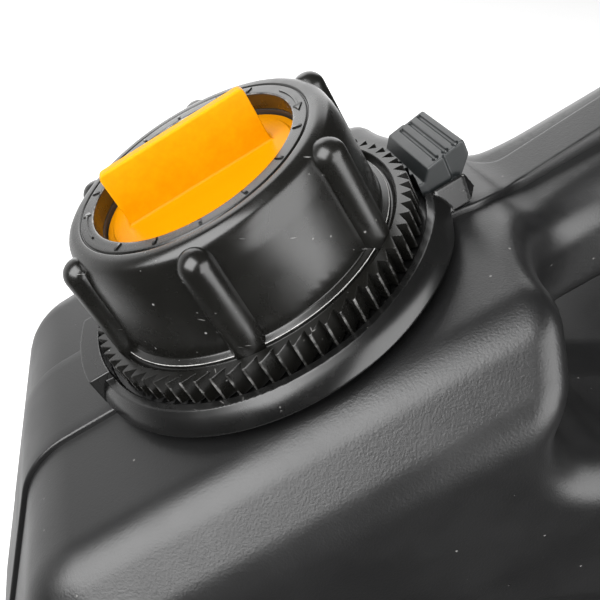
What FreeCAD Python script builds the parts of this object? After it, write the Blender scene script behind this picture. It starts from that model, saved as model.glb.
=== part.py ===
import FreeCAD, Part
import math
import os

from FreeCAD import Placement, Rotation, Vector

# Fuel can with a tilted screw neck, a ratchet ring cap, a lock collar with a thumb lever,
# a winged stopper and a pouring spout stored upside down inside the neck.
# Millimetres. +Z is up, the can stands on Z = 0, +X runs from the neck end to the far end.
# "Neck frame" below: origin where the neck's axis meets the pad, z along the neck, x up the slope.

# ---------------------------------------------------------------- can, overall
CAN_LENGTH = 302.0            # over the belt at one end and the rib at the other
CAN_WIDTH = 116.0             # over the two broad faces
SHELL_HEIGHT = 376.0          # top of the handle, without its rib
WALL = 2.4                    # blow-moulded wall
BASE_RADIUS = 24.0            # rounding where the end walls meet the base
BELT_FOOT_SHARE = 0.875       # the same rounding on the belt and rib, tighter so that they part cleanly
FACET_WIDTH = 12.0            # slanted facet between a broad face and the shoulder, across the can
FACET_DROP = 13.0             # the same facet, measured down from the shoulder
FACET_RADIUS = 13.0           # soft rounding along both edges of the facet
FACET_STEPS = 3               # flat strips in each rounding
SHOULDER_RADIUS = 21.0        # rounding between the neck end wall and the sloping shoulder

# ---------------------------------------------------------------- neck placement
NECK_TILT = 36.0              # angle between the neck's axis and the vertical
NECK_SETBACK = 58.7           # from the neck end of the can to where the neck's axis meets the pad
NECK_DROP = 55.1              # and from the top of the handle down to it
NECK_X = -CAN_LENGTH / 2 + NECK_SETBACK
NECK_Z = SHELL_HEIGHT - NECK_DROP
END_LEAN = 6.6                # how far the neck end wall leans in at its top
LEAN_DROP = 107.9             # the lean starts this far below the neck
LEAN_RADIUS = 60.0            # soft bend where it starts
LEAN_Z = NECK_Z - LEAN_DROP

# ---------------------------------------------------------------- belt, pad and rib
PAD_HALF_WIDTH = 14.2         # half width of the belt and of the pad around the neck
PAD_PROUD = 1.3               # belt and pad above the half shells
RIB_HALF_WIDTH = 5.5          # half width of the narrow rib over the handle
RIB_PROUD = 4.2               # the rib above the handle
PAD_LEVEL_RUN = 37.3          # from the neck to where the slope turns level
PAD_END_RUN = 40.3            # from the neck to where the pad starts to narrow, behind the lever
RIB_START_RUN = 52.3          # from the neck to where the rib has its own width
TAPER_HOLLOW = 1.0            # how much the sides of the taper between them curve in
PAD_LEVEL_RADIUS = 19.0       # bend where the slope turns level
PAD_LEVEL_X = NECK_X + PAD_LEVEL_RUN
PAD_END_X = NECK_X + PAD_END_RUN
RIB_START_X = NECK_X + RIB_START_RUN

# ---------------------------------------------------------------- handle
SADDLE_RUN = 49.3             # from the neck to the end of the level saddle before the handle
SADDLE_DROP = 30.8            # the saddle below the handle's top
SADDLE_RADIUS = 14.0          # hollow bend where the handle starts to rise
RISE_LENGTH = 42.0            # length of the handle's rising part, seen from above
FALL_SETBACK = 53.0           # from the far end to where the handle's top starts to fall
FAR_SHOULDER_DROP = 38.0      # how far it falls
HANDLE_BEND_RADIUS = 32.0     # bends in the handle's outline
HANDLE_THICK = 25.0           # thickness of the handle bar in side view
HANDLE_HALF_WIDTH = 19.0      # half width of the handle bar
SADDLE_X = NECK_X + SADDLE_RUN
SADDLE_Z = SHELL_HEIGHT - SADDLE_DROP
RISE_X = SADDLE_X + RISE_LENGTH
FALL_X = CAN_LENGTH / 2 - FALL_SETBACK
FAR_SHOULDER_Z = SHELL_HEIGHT - FAR_SHOULDER_DROP

# ---------------------------------------------------------------- finger gap and scoops
GAP_DROP = 62.0               # from the handle's top to the bottom of the finger gap and the scoops
GAP_SADDLE_RUN = 9.0          # from the saddle to the near end of the gap
GAP_FALL_RUN = 2.0            # from the start of the fall to the far end of the gap
GAP_RADIUS = 8.0
SCOOP_NECK_RUN = 40.3         # from the neck to the scoops that cut the width down to the handle's
SCOOP_SETBACK = 31.0          # from the far end of the can to the scoops
SCOOP_RADIUS = 24.0           # upright inner corners of a scoop
SCOOP_FLOOR_RADIUS = 9.0
GAP_FLOOR = SHELL_HEIGHT - GAP_DROP
GAP_LEFT = SADDLE_X + GAP_SADDLE_RUN
GAP_RIGHT = FALL_X + GAP_FALL_RUN
SCOOP_LEFT = NECK_X + SCOOP_NECK_RUN
SCOOP_RIGHT = CAN_LENGTH / 2 - SCOOP_SETBACK

# ---------------------------------------------------------------- thread
THREAD_LEAD = 6.0             # one start, left-hand
THREAD_DEPTH = 1.3
THREAD_BASE = 4.0             # thread profile, width at the root
THREAD_CREST = 2.0            # and at the crest
THREAD_TURNS = 1.75
RING_TURNS = 1.25             # thread turns inside the ring
THREAD_LOW = 9.5              # middle of the neck thread where it starts
THREAD_GAP = 0.45             # radial gap between a crest and the opposite root
THREAD_SUNK = 0.4             # how far a thread ridge is sunk in its wall

# ---------------------------------------------------------------- closure stack
RING_TOP = 33.5               # top of the ring above the pad
RING_PLATE = 4.0              # thickness of its top plate
STACK_GAP = 0.1               # play between the ring's plate and the spout's flange
SPOUT_FLANGE_THICK = 2.5
GASKET_THICK = 2.0

# ---------------------------------------------------------------- neck
NECK_RADIUS = 27.0            # thread root of the neck
NECK_WALL = 2.8
NECK_BORE = NECK_RADIUS - NECK_WALL
NECK_HEIGHT = RING_TOP - RING_PLATE - STACK_GAP - SPOUT_FLANGE_THICK - GASKET_THICK
NECK_ROOT = 9.0               # how far the neck reaches down into the shoulder
KEY_COUNT = 2                 # keys at the neck's foot that stop the collar from turning
KEY_WIDTH = 6.0
KEY_STAND = 4.0               # how far a key stands out of the neck
KEY_HEIGHT = 2.4
KEY_ROOT = 2.0                # how far a key is sunk in the neck and in the pad
KEY_GAP = 0.3

# ---------------------------------------------------------------- ring cap
RING_HOLE = 23.0              # radius of the hole the stopper sits in
RING_FLAT_WIDTH = 2.9         # flat annulus around the hole
RING_GROOVE = 0.5             # groove around the annulus, width and depth
RING_ROUND = 3.0              # rounded top edge
RING_ROUND_SHARE = 0.3        # its middle point, as a share of the rounding
RING_WALL_TOP = 30.9          # outer radius of the wall at its top
WALL_DRAFT = 0.9              # and how much more at its foot
RING_WALL_FOOT = RING_WALL_TOP + WALL_DRAFT
FLANGE_STAND = 1.4            # crisp flange under the wall
FLANGE_RADIUS = RING_WALL_FOOT + FLANGE_STAND
FLANGE_Z = 9.8
FLANGE_THICK = 0.9
FLANGE_LIP = 0.6              # hollow step between the flange and the foot of the wall
RIB_COUNT = 6                 # half-round grip ribs
RIB_RADIUS = 3.4
RIB_STAND = 2.4               # ribs stand this far out of the wall
RIB_ANGLE = 17.7              # angle of the first rib
RIB_TOP_DROP = 1.6            # rib tops below the ring's top
RIB_SUNK = 1.0                # grip ribs reach this far into the wall
RATCHET_TEETH = 70
RATCHET_TIP = 37.7            # radius over the teeth
RATCHET_DEPTH = 2.4
RATCHET_ROOT = RATCHET_TIP - RATCHET_DEPTH
RATCHET_LOW = 4.4
RATCHET_HIGH = 10.1
RATCHET_PHASE = 3.03          # angle of the first tooth tip
RATCHET_LAND = 0.12           # flat share of a tooth at its tip
BAND_INSET = 0.4              # teeth reach this far into the band that carries them
RECESS_DEPTH = 3.6            # ring groove in the foot of the cap
RECESS_WIDTH = 2.6
RECESS_RIM = 1.9              # from the groove to the teeth's root
RECESS_OUTER = RATCHET_ROOT - RECESS_RIM

# ---------------------------------------------------------------- spout
SPOUT_FLANGE_INSET = 1.15     # flange inside the ring's bore
SOCKET_GAP = 0.3              # spout's socket inside the neck
SPOUT_BORE = 19.2
SPOUT_WALL = 2.0
SPOUT_LEDGE = 2.5             # ledge that carries the stopper
THROAT_DEPTH = 2.0            # the straight part of the spout ends this far below the pad
SPOUT_TIP_RADIUS = 10.5       # outer radius at the tip
SPOUT_TIP_DEPTH = 118.0       # tip below the pad
BEAD_COUNT = 5
BEAD_RADIUS = 1.4
BEAD_PITCH = 9.0

# ---------------------------------------------------------------- stopper and seals
STOPPER_GAP = 0.3             # stopper disc inside the ring's hole
STOPPER_SINK = 4.6            # top of the disc below the ring's top
STOPPER_THICK = 2.5
STEP_WIDTH = 1.6              # low rim around the disc
STEP_DEPTH = 0.5
WING_LENGTH = 33.4
WING_HEIGHT = 8.0             # above the ring's top
WING_THICK = 3.2
WING_RADIUS = 1.8             # rounded upper corners
WING_SUNK = 1.0               # wing reaches this far into the disc
PLUG_GAP = 0.3                # plug inside the spout's bore
PLUG_WALL = 3.4                # leaves wall behind the O-ring groove
PLUG_LENGTH = 10.4
ORING_RADIUS = 1.2
ORING_DROP = 6.0              # O-ring's middle below the disc
ORING_SEAT = 0.2              # how much wider the plug's groove is than the cord
GASKET_WIDTH = 2.6
GASKET_INSET = 0.3            # gasket's outer edge inside the spout's flange

# ---------------------------------------------------------------- lock collar
COLLAR_BORE_GAP = 2.0         # around the neck, so that it passes over the thread
COLLAR_LIFT = 0.3             # above the pad
COLLAR_FLOOR = 3.2            # top of the channel under the ratchet
COLLAR_GAP = 1.2              # raised rim around the ratchet's tips
COLLAR_RIM = 4.7              # width of the raised rim
COLLAR_CREST = 5.0
COLLAR_EDGE_Z = 1.5
COLLAR_CHAMFER = 0.6          # under the outer edge
COLLAR_CREST_DROP = 0.3       # rounding of the raised rim
COLLAR_CREST_FLAT = 0.5
COLLAR_SLOPE_DROP = 1.6       # outer slope's middle below the crest
COLLAR_INNER = RATCHET_TIP + COLLAR_GAP
COLLAR_OUTER = COLLAR_INNER + COLLAR_RIM
LUG_HALF_WIDTH = 12.0         # lug block towards the end wall
LUG_SETBACK = 1.2             # its outer face inside the collar's edge
LUG_TOP = 6.5
EAR_THICK = 2.6               # two ears carry the lever
EAR_SETBACK = 0.5             # their inner end outside the raised rim's inner edge
EAR_STAND = 4.0               # and their outer end past the collar's edge
EAR_TOP = 6.0

# ---------------------------------------------------------------- lever
LEVER_HALF_WIDTH = 10.0
LEVER_SIDE_GAP = 0.35
LEVER_GAP = 1.0               # curved face beside the ratchet
LEVER_WALL = RATCHET_TIP + LEVER_GAP
PAWL_TEETH = 3
PAWL_GAP = 0.3                # pawl tips stand clear of the ratchet's tips
PAWL_SHARE = 0.8              # share of the pitch that a pawl tooth fills
PIVOT_STAND = 0.8             # pivot's axis outside the collar's edge
PIVOT_X = COLLAR_OUTER + PIVOT_STAND
PIVOT_Z = 3.1
PIVOT_RADIUS = 1.6
PIVOT_GAP = 0.05
PIVOT_LENGTH = 2.0
LEVER_FOOT = 1.0
LEVER_HEEL = 2.4              # foot's rise from the pivot side towards the ratchet
LEVER_NECK_Z = 6.9            # upper end of the curved face beside the ratchet
PLATE_INNER_RUN = 4.0         # thumb plate, from the pivot to its edge towards the cap
PLATE_INNER_Z = 9.4
PLATE_OUTER_RUN = 4.9         # and from the pivot to its outer edge
PLATE_OUTER_Z = 10.7
LEVER_LIP = 3.6               # thickness of the thumb plate at its outer edge
GROOVE_COUNT = 3
GROOVE_PITCH = 2.35
GROOVE_FIRST = 2.6            # first groove from the plate's inner edge
GROOVE_RADIUS = 0.45
GROOVE_HALF_LENGTH = 8.6

# ---------------------------------------------------------------- construction
ALONG = 1e-6                  # largest sine between an edge and a direction it runs along
PAST = 1.0                    # cutters run past the face they cut by at least this much


def on_neck(shape):
    """Move a shape from the neck frame to the can."""
    moved = shape.copy()
    turn = Rotation(Vector(0, 1, 0), -NECK_TILT)
    moved.Placement = Placement(Vector(NECK_X, 0, NECK_Z), turn).multiply(moved.Placement)
    return moved


def revolve(points):
    """Full turn of a closed (radius, height) outline about the z axis."""
    wire = Part.makePolygon([Vector(r, 0, z) for r, z in points + points[:1]])
    return Part.Face(wire).revolve(Vector(0, 0, 0), Vector(0, 0, 1), 360)


def prism_y(points, half):
    """Outline of (x, z) points, extruded across the can."""
    wire = Part.makePolygon([Vector(x, -half, z) for x, z in points + points[:1]])
    return Part.Face(wire).extrude(Vector(0, 2 * half, 0))


def tube(outer, inner, low, high):
    """Plain ring between two radii."""
    body = Part.makeCylinder(outer, high - low, Vector(0, 0, low))
    bore = Part.makeCylinder(inner, high - low + 2 * PAST, Vector(0, 0, low - PAST))
    return body.cut(bore)


def upright_edges(shape, direction):
    """Straight edges that run along a direction."""
    found = []
    for edge in shape.Edges:
        if edge.Curve.TypeId != "Part::GeomLine":
            continue
        line = edge.Vertexes[1].Point - edge.Vertexes[0].Point
        if line.normalize().cross(direction).Length < ALONG:
            found.append(edge)
    return found


# ---------------------------------------------------------------- side outlines of the can
def slope_point(x, rise):
    """Point on the sloping shoulder at x, a distance above the pad's plane."""
    tilt = math.radians(NECK_TILT)
    base_x = NECK_X - rise * math.sin(tilt)
    base_z = NECK_Z + rise * math.cos(tilt)
    return (x, base_z + (x - base_x) * math.tan(tilt))


def shell_corners():
    """Corner points and bend radii of the half shells' side outline."""
    left = -CAN_LENGTH / 2 + PAD_PROUD
    right = CAN_LENGTH / 2 - RIB_PROUD
    lean_top = slope_point(left + END_LEAN, -PAD_PROUD)
    pad_end = slope_point(PAD_LEVEL_X, -PAD_PROUD)
    return [
        ((left, 0.0), BASE_RADIUS),
        ((right, 0.0), BASE_RADIUS),
        ((right, FAR_SHOULDER_Z), HANDLE_BEND_RADIUS),
        ((FALL_X, SHELL_HEIGHT), HANDLE_BEND_RADIUS),
        ((RISE_X, SHELL_HEIGHT), HANDLE_BEND_RADIUS),
        ((SADDLE_X, SADDLE_Z), SADDLE_RADIUS),
        (pad_end, PAD_LEVEL_RADIUS),
        (lean_top, SHOULDER_RADIUS),
        ((left, LEAN_Z), LEAN_RADIUS),
    ]


def inset_corners(corners, inset):
    """Corners and bend radii of the same outline moved inwards by a distance."""
    moved = []
    count = len(corners)
    for index in range(count):
        (x, z), radius = corners[index]
        corner = Vector(x, 0, z)
        before = Vector(corners[index - 1][0][0], 0, corners[index - 1][0][1]) - corner
        after_x, after_z = corners[(index + 1) % count][0]
        after = Vector(after_x, 0, after_z) - corner
        before.normalize()
        after.normalize()
        half = before.getAngle(after) / 2
        side = 1 if before.cross(after).y > 0 else -1
        place = corner + (before + after).normalize() * (side * inset / math.sin(half))
        moved.append(((place.x, place.z), radius - side * inset))
    return moved


def rounded_wire(corners, y):
    """Closed wire of straight lines and tangent arcs through rounded corners, at one y."""
    count = len(corners)
    starts = []
    arcs = []
    for index in range(count):
        (x, z), radius = corners[index]
        corner = Vector(x, y, z)
        before = Vector(corners[index - 1][0][0], y, corners[index - 1][0][1]) - corner
        after_x, after_z = corners[(index + 1) % count][0]
        after = Vector(after_x, y, after_z) - corner
        before.normalize()
        after.normalize()
        half = before.getAngle(after) / 2
        reach = radius / math.tan(half)
        middle = (before + after).normalize()
        centre = corner + middle * (radius / math.sin(half))
        start = corner + before * reach
        end = corner + after * reach
        arcs.append(Part.Arc(start, centre - middle * radius, end).toShape())
        starts.append((start, end))
    edges = []
    for index in range(count):
        edges.append(arcs[index])
        edges.append(Part.makeLine(starts[index][1], starts[(index + 1) % count][0]))
    return Part.Wire(edges)


def rim_profile(inset):
    """(y, drop) steps from the shoulder over the rounded facet to the broad face."""
    turn = math.atan2(FACET_DROP, FACET_WIDTH)
    face = CAN_WIDTH / 2 - inset
    slab = CAN_WIDTH / 2 - FACET_WIDTH - inset * math.tan(turn / 2)
    drop = FACET_DROP + inset * math.tan((math.pi / 2 - turn) / 2)
    radius = FACET_RADIUS - inset
    steps = []
    first_reach = radius * math.tan(turn / 2)
    for step in range(FACET_STEPS + 1):
        angle = turn * step / FACET_STEPS
        y = slab - first_reach + radius * math.sin(angle)
        steps.append((y, inset + radius * (1 - math.cos(angle))))
    last_reach = radius * math.tan((math.pi / 2 - turn) / 2)
    for step in range(FACET_STEPS + 1):
        angle = turn + (math.pi / 2 - turn) * step / FACET_STEPS
        z = drop + last_reach - radius * math.cos(angle)
        steps.append((face - radius * (1 - math.sin(angle)), z))
    return steps


def bare_can(inset):
    """Closed block with soft slanted facets towards both broad faces; inset makes the hollow."""
    outlines = []
    for y, drop in rim_profile(inset):
        corners = inset_corners(shell_corners(), drop)
        outlines.append(rounded_wire(corners, y))
        outlines.insert(0, rounded_wire(corners, -y))
    return Part.makeLoft(outlines, True, True)


def scoop(inset, side):
    """Rounded cutter that narrows the can to the handle on one side."""
    inner = HANDLE_HALF_WIDTH - inset
    outer = CAN_WIDTH
    left = SCOOP_LEFT - inset
    length = SCOOP_RIGHT - SCOOP_LEFT + 2 * inset
    floor = GAP_FLOOR - inset
    block = Part.makeBox(length, outer - inner, SHELL_HEIGHT, Vector(left, inner, floor))
    corners = []
    for edge in upright_edges(block, Vector(0, 0, 1)):
        if edge.CenterOfMass.y < outer - PAST:
            corners.append(edge)
    block = block.makeFillet(SCOOP_RADIUS + inset, corners)
    floor_edges = []
    for edge in block.Edges:
        on_floor = edge.BoundBox.ZMax < floor + PAST
        on_outer_face = edge.BoundBox.YMin > outer - PAST
        if on_floor and not on_outer_face:
            floor_edges.append(edge)
    block = block.makeFillet(SCOOP_FLOOR_RADIUS + inset, floor_edges)
    if side < 0:
        block = block.mirror(Vector(0, 0, 0), Vector(0, 1, 0))
    return block


def finger_gap(inset):
    """Through gap under the handle; inset makes it larger for the hollow."""
    rise = math.atan2(SHELL_HEIGHT - SADDLE_Z, RISE_X - SADDLE_X)
    fall = math.atan2(SHELL_HEIGHT - FAR_SHOULDER_Z, CAN_LENGTH / 2 - RIB_PROUD - FALL_X)
    depth = HANDLE_THICK - inset
    under = SHELL_HEIGHT - depth
    left = GAP_LEFT - inset
    right = GAP_RIGHT + inset
    left_corner = RISE_X + depth * math.tan(rise / 2)
    right_corner = FALL_X - depth * math.tan(fall / 2)
    left_top = under - (left_corner - left) * math.tan(rise)
    right_top = under - (right - right_corner) * math.tan(fall)
    corners = [
        ((left, GAP_FLOOR - inset), GAP_RADIUS / 2),
        ((right, GAP_FLOOR - inset), GAP_RADIUS),
        ((right, right_top), GAP_RADIUS),
        ((right_corner, under), GAP_RADIUS),
        ((left_corner, under), GAP_RADIUS),
        ((left, left_top), GAP_RADIUS / 4),
    ]
    wire = rounded_wire(corners, -CAN_WIDTH)
    return Part.Face(wire).extrude(Vector(0, 2 * CAN_WIDTH, 0))


def can_block(inset):
    """The can without neck, belt and rib, outside for inset 0 or as the hollow."""
    block = bare_can(inset)
    block = block.cut(scoop(inset, 1)).cut(scoop(inset, -1))
    return block.cut(finger_gap(inset))


def belt():
    """Belt over the neck end, pad around the neck and narrow rib over the handle."""
    far = inset_corners(shell_corners(), -RIB_PROUD)
    near = inset_corners(shell_corners(), -PAD_PROUD)
    level = SADDLE_Z + RIB_PROUD
    foot = BELT_FOOT_SHARE * BASE_RADIUS
    pad_x = NECK_X + (level - NECK_Z) / math.tan(math.radians(NECK_TILT))
    corners = [
        ((-CAN_LENGTH / 2, 0.0), foot),
        ((CAN_LENGTH / 2, 0.0), foot),
        far[2],
        far[3],
        far[4],
        far[5],
        ((pad_x, level), PAD_LEVEL_RADIUS / 2),
        near[7],
        near[8],
    ]
    outline = Part.Face(rounded_wire(corners, -PAD_HALF_WIDTH))
    strip = outline.extrude(Vector(0, 2 * PAD_HALF_WIDTH, 0))
    taper_y = (PAD_HALF_WIDTH + RIB_HALF_WIDTH) / 2 - TAPER_HOLLOW
    half_plan = [
        (-CAN_LENGTH, PAD_HALF_WIDTH),
        (PAD_END_X, PAD_HALF_WIDTH),
        ((PAD_END_X + RIB_START_X) / 2, taper_y),
        (RIB_START_X, RIB_HALF_WIDTH),
        (CAN_LENGTH, RIB_HALF_WIDTH),
    ]
    plan = half_plan + [(x, -y) for x, y in reversed(half_plan)]
    wire = Part.makePolygon([Vector(x, y, -1) for x, y in plan + plan[:1]])
    shape = strip.common(Part.Face(wire).extrude(Vector(0, 0, 2 * SHELL_HEIGHT)))
    return shape.cut(finger_gap(0.0))


# ---------------------------------------------------------------- threads
def thread_ridge(root, crest, low, turns):
    """Left-hand helical ridge from a wall at root to a crest, its middle starting at low."""
    outward = 1 if crest > root else -1
    path = Part.makeHelix(THREAD_LEAD, THREAD_LEAD * turns, root)
    sunk = root - outward * THREAD_SUNK
    grow = (THREAD_BASE - THREAD_CREST) / 2 * THREAD_SUNK / THREAD_DEPTH
    base = THREAD_BASE / 2 + grow
    top = THREAD_CREST / 2
    points = [(sunk, -base), (crest, -top), (crest, top), (sunk, base)]
    profile = Part.makePolygon([Vector(r, 0, z) for r, z in points + points[:1]])
    ridge = Part.Wire(path.Edges).makePipeShell([profile], True, True)
    ridge.translate(Vector(0, 0, low))
    return Part.Solid(ridge.mirror(Vector(0, 0, 0), Vector(0, 1, 0)).Shells[0])


def ring_bore():
    """Inner radius of the ring cap, at the root of its thread."""
    return NECK_RADIUS + THREAD_DEPTH + THREAD_GAP


# ---------------------------------------------------------------- the pieces
def keys(gap):
    """Blocks at the neck's foot, or with a gap the notches they sit in."""
    length = KEY_STAND + KEY_ROOT + gap
    height = KEY_HEIGHT + KEY_ROOT + 2 * gap
    corner = Vector(NECK_RADIUS - KEY_ROOT, -KEY_WIDTH / 2 - gap, -KEY_ROOT - gap)
    shapes = []
    for index in range(KEY_COUNT):
        block = Part.makeBox(length, KEY_WIDTH + 2 * gap, height, corner)
        block.rotate(Vector(0, 0, 0), Vector(0, 0, 1), 90 + 360 * index / KEY_COUNT)
        shapes.append(block)
    return shapes


def make_can_body():
    """Hollow can with handle, pad, belt, rib and threaded neck."""
    outside = can_block(0.0).fuse(belt())
    neck = Part.makeCylinder(NECK_RADIUS, NECK_HEIGHT + NECK_ROOT, Vector(0, 0, -NECK_ROOT))
    crest = NECK_RADIUS + THREAD_DEPTH
    ridge = thread_ridge(NECK_RADIUS, crest, THREAD_LOW, THREAD_TURNS)
    neck = neck.fuse([ridge] + keys(0.0))
    outside = outside.fuse(on_neck(neck))
    bore_length = NECK_HEIGHT + NECK_ROOT + PAST
    bore = Part.makeCylinder(NECK_BORE, bore_length, Vector(0, 0, -NECK_ROOT))
    return outside.cut(can_block(WALL)).cut(on_neck(bore)).removeSplitter()


def ratchet():
    """Ring of saw teeth whose steep faces look clockwise, seen from above."""
    points = []
    pitch = 360.0 / RATCHET_TEETH
    for tooth in range(RATCHET_TEETH):
        start = RATCHET_PHASE + tooth * pitch
        steps = ((RATCHET_ROOT, 0.0), (RATCHET_TIP, 0.0), (RATCHET_TIP, RATCHET_LAND))
        for radius, share in steps:
            angle = math.radians(start + share * pitch)
            points.append(Vector(radius * math.cos(angle), radius * math.sin(angle), RATCHET_LOW))
    wire = Part.makePolygon(points + points[:1])
    return Part.Face(wire).extrude(Vector(0, 0, RATCHET_HIGH - RATCHET_LOW))


def make_ring_cap():
    """Screw ring with an open top, six grip ribs, a flange and the ratchet teeth."""
    round_middle = RING_ROUND_SHARE * RING_ROUND
    flat = RING_HOLE + RING_FLAT_WIDTH
    profile = [
        (ring_bore(), RATCHET_LOW),
        (RATCHET_ROOT - BAND_INSET, RATCHET_LOW),
        (RATCHET_ROOT - BAND_INSET, RATCHET_HIGH),
        (FLANGE_RADIUS + BAND_INSET, FLANGE_Z - FLANGE_THICK),
        (FLANGE_RADIUS, FLANGE_Z - FLANGE_THICK),
        (FLANGE_RADIUS, FLANGE_Z),
        (RING_WALL_FOOT, FLANGE_Z + FLANGE_LIP),
        (RING_WALL_TOP, RING_TOP - RING_ROUND),
        (RING_WALL_TOP - round_middle, RING_TOP - round_middle),
        (RING_WALL_TOP - RING_ROUND, RING_TOP),
        (flat + RING_GROOVE, RING_TOP),
        (flat + RING_GROOVE / 2, RING_TOP - RING_GROOVE),
        (flat, RING_TOP),
        (RING_HOLE, RING_TOP),
        (RING_HOLE, RING_TOP - RING_PLATE),
        (ring_bore(), RING_TOP - RING_PLATE),
    ]
    ring = revolve(profile)
    ribs = []
    inside = Part.makeCylinder(RING_WALL_TOP - RIB_SUNK, 2 * RING_TOP)
    rib_low = FLANGE_Z - FLANGE_THICK
    rib_high = RING_TOP - RIB_TOP_DROP
    for index in range(RIB_COUNT):
        middle = RING_WALL_FOOT + RIB_STAND - RIB_RADIUS
        rib = Part.makeCylinder(RIB_RADIUS, rib_high - rib_low, Vector(middle, 0, rib_low))
        rib.rotate(Vector(0, 0, 0), Vector(0, 0, 1), RIB_ANGLE + 360 * index / RIB_COUNT)
        ribs.append(rib.cut(inside))
    hub = Part.makeCylinder(RATCHET_ROOT - 2 * BAND_INSET, 2 * RATCHET_HIGH)
    teeth = ratchet().cut(hub)
    ridge_low = THREAD_LOW + THREAD_LEAD / 2
    ridge = thread_ridge(ring_bore(), NECK_RADIUS + THREAD_GAP, ridge_low, RING_TURNS)
    ring = ring.fuse(ribs + [teeth, ridge])
    recess = tube(RECESS_OUTER, RECESS_OUTER - RECESS_WIDTH, 0, RATCHET_LOW + RECESS_DEPTH)
    return ring.cut(recess)


def flange_radius():
    """Outer radius of the spout's flange, inside the ring's bore."""
    return ring_bore() - SPOUT_FLANGE_INSET


def flange_top():
    """Top of the spout's flange, under the ring's plate."""
    return RING_TOP - RING_PLATE - STACK_GAP


def ledge_top():
    """Height at which the stopper's disc rests in the spout."""
    return RING_TOP - STOPPER_SINK - STOPPER_THICK


def make_pouring_spout():
    """Spout stored upside down: flange on the neck's gasket, tube hanging into the can."""
    socket = RING_HOLE - STOPPER_GAP + SOCKET_GAP
    outer = NECK_BORE - SOCKET_GAP
    top = flange_top()
    ledge = ledge_top()
    throat = SPOUT_BORE + SPOUT_WALL
    profile = [
        (socket, top),
        (flange_radius(), top),
        (flange_radius(), top - SPOUT_FLANGE_THICK),
        (outer, top - SPOUT_FLANGE_THICK),
        (outer, ledge - SPOUT_LEDGE),
        (throat, ledge - SPOUT_LEDGE - (outer - throat)),
        (throat, -THROAT_DEPTH),
    ]
    slope = (throat - SPOUT_TIP_RADIUS) / (SPOUT_TIP_DEPTH - THROAT_DEPTH)
    for bead in range(BEAD_COUNT):
        z = -THROAT_DEPTH - BEAD_PITCH * (bead + 1)
        radius = throat - slope * BEAD_PITCH * (bead + 1)
        profile.append((radius + slope * BEAD_RADIUS, z + BEAD_RADIUS))
        profile.append((radius + BEAD_RADIUS, z))
        profile.append((radius - slope * BEAD_RADIUS, z - BEAD_RADIUS))
    profile += [
        (SPOUT_TIP_RADIUS, -SPOUT_TIP_DEPTH),
        (SPOUT_TIP_RADIUS - SPOUT_WALL, -SPOUT_TIP_DEPTH),
        (SPOUT_BORE, -THROAT_DEPTH),
        (SPOUT_BORE, ledge),
        (socket, ledge),
    ]
    return revolve(profile)


def make_neck_gasket():
    """Flat ring between the neck's rim and the spout's flange."""
    outer = flange_radius() - GASKET_INSET
    return tube(outer, outer - GASKET_WIDTH, NECK_HEIGHT, flange_top() - SPOUT_FLANGE_THICK)


def oring_middle():
    """Radius of the O-ring's centre line, so that it just touches the spout's bore."""
    return SPOUT_BORE - ORING_RADIUS - STACK_GAP / 2


def make_stopper():
    """Disc with a rectangular wing on top and a hollow plug with an O-ring groove."""
    top = RING_TOP - STOPPER_SINK
    low = top - STOPPER_THICK
    radius = RING_HOLE - STOPPER_GAP
    plug = SPOUT_BORE - PLUG_GAP
    seat = ORING_RADIUS + ORING_SEAT / 2
    groove = oring_middle() - seat
    groove_high = low - ORING_DROP + seat
    groove_low = low - ORING_DROP - seat
    profile = [
        (0, top),
        (radius - STEP_WIDTH, top),
        (radius - STEP_WIDTH, top - STEP_DEPTH),
        (radius, top - STEP_DEPTH),
        (radius, low),
        (plug, low),
        (plug, groove_high),
        (groove, groove_high),
        (groove, groove_low),
        (plug, groove_low),
        (plug, low - PLUG_LENGTH),
        (plug - PLUG_WALL, low - PLUG_LENGTH),
        (plug - PLUG_WALL, low),
        (0, low),
    ]
    body = revolve(profile)
    height = WING_HEIGHT + STOPPER_SINK + WING_SUNK
    corner = Vector(-WING_LENGTH / 2, -WING_THICK / 2, top - WING_SUNK)
    wing = Part.makeBox(WING_LENGTH, WING_THICK, height, corner)
    corners = []
    for edge in upright_edges(wing, Vector(0, 1, 0)):
        if edge.BoundBox.ZMin > top:
            corners.append(edge)
    return body.fuse(wing.makeFillet(WING_RADIUS, corners)).removeSplitter()


def make_stopper_oring():
    """O-ring in the plug's groove."""
    ring = Part.makeTorus(oring_middle(), ORING_RADIUS)
    ring.translate(Vector(0, 0, ledge_top() - ORING_DROP))
    return ring


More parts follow.
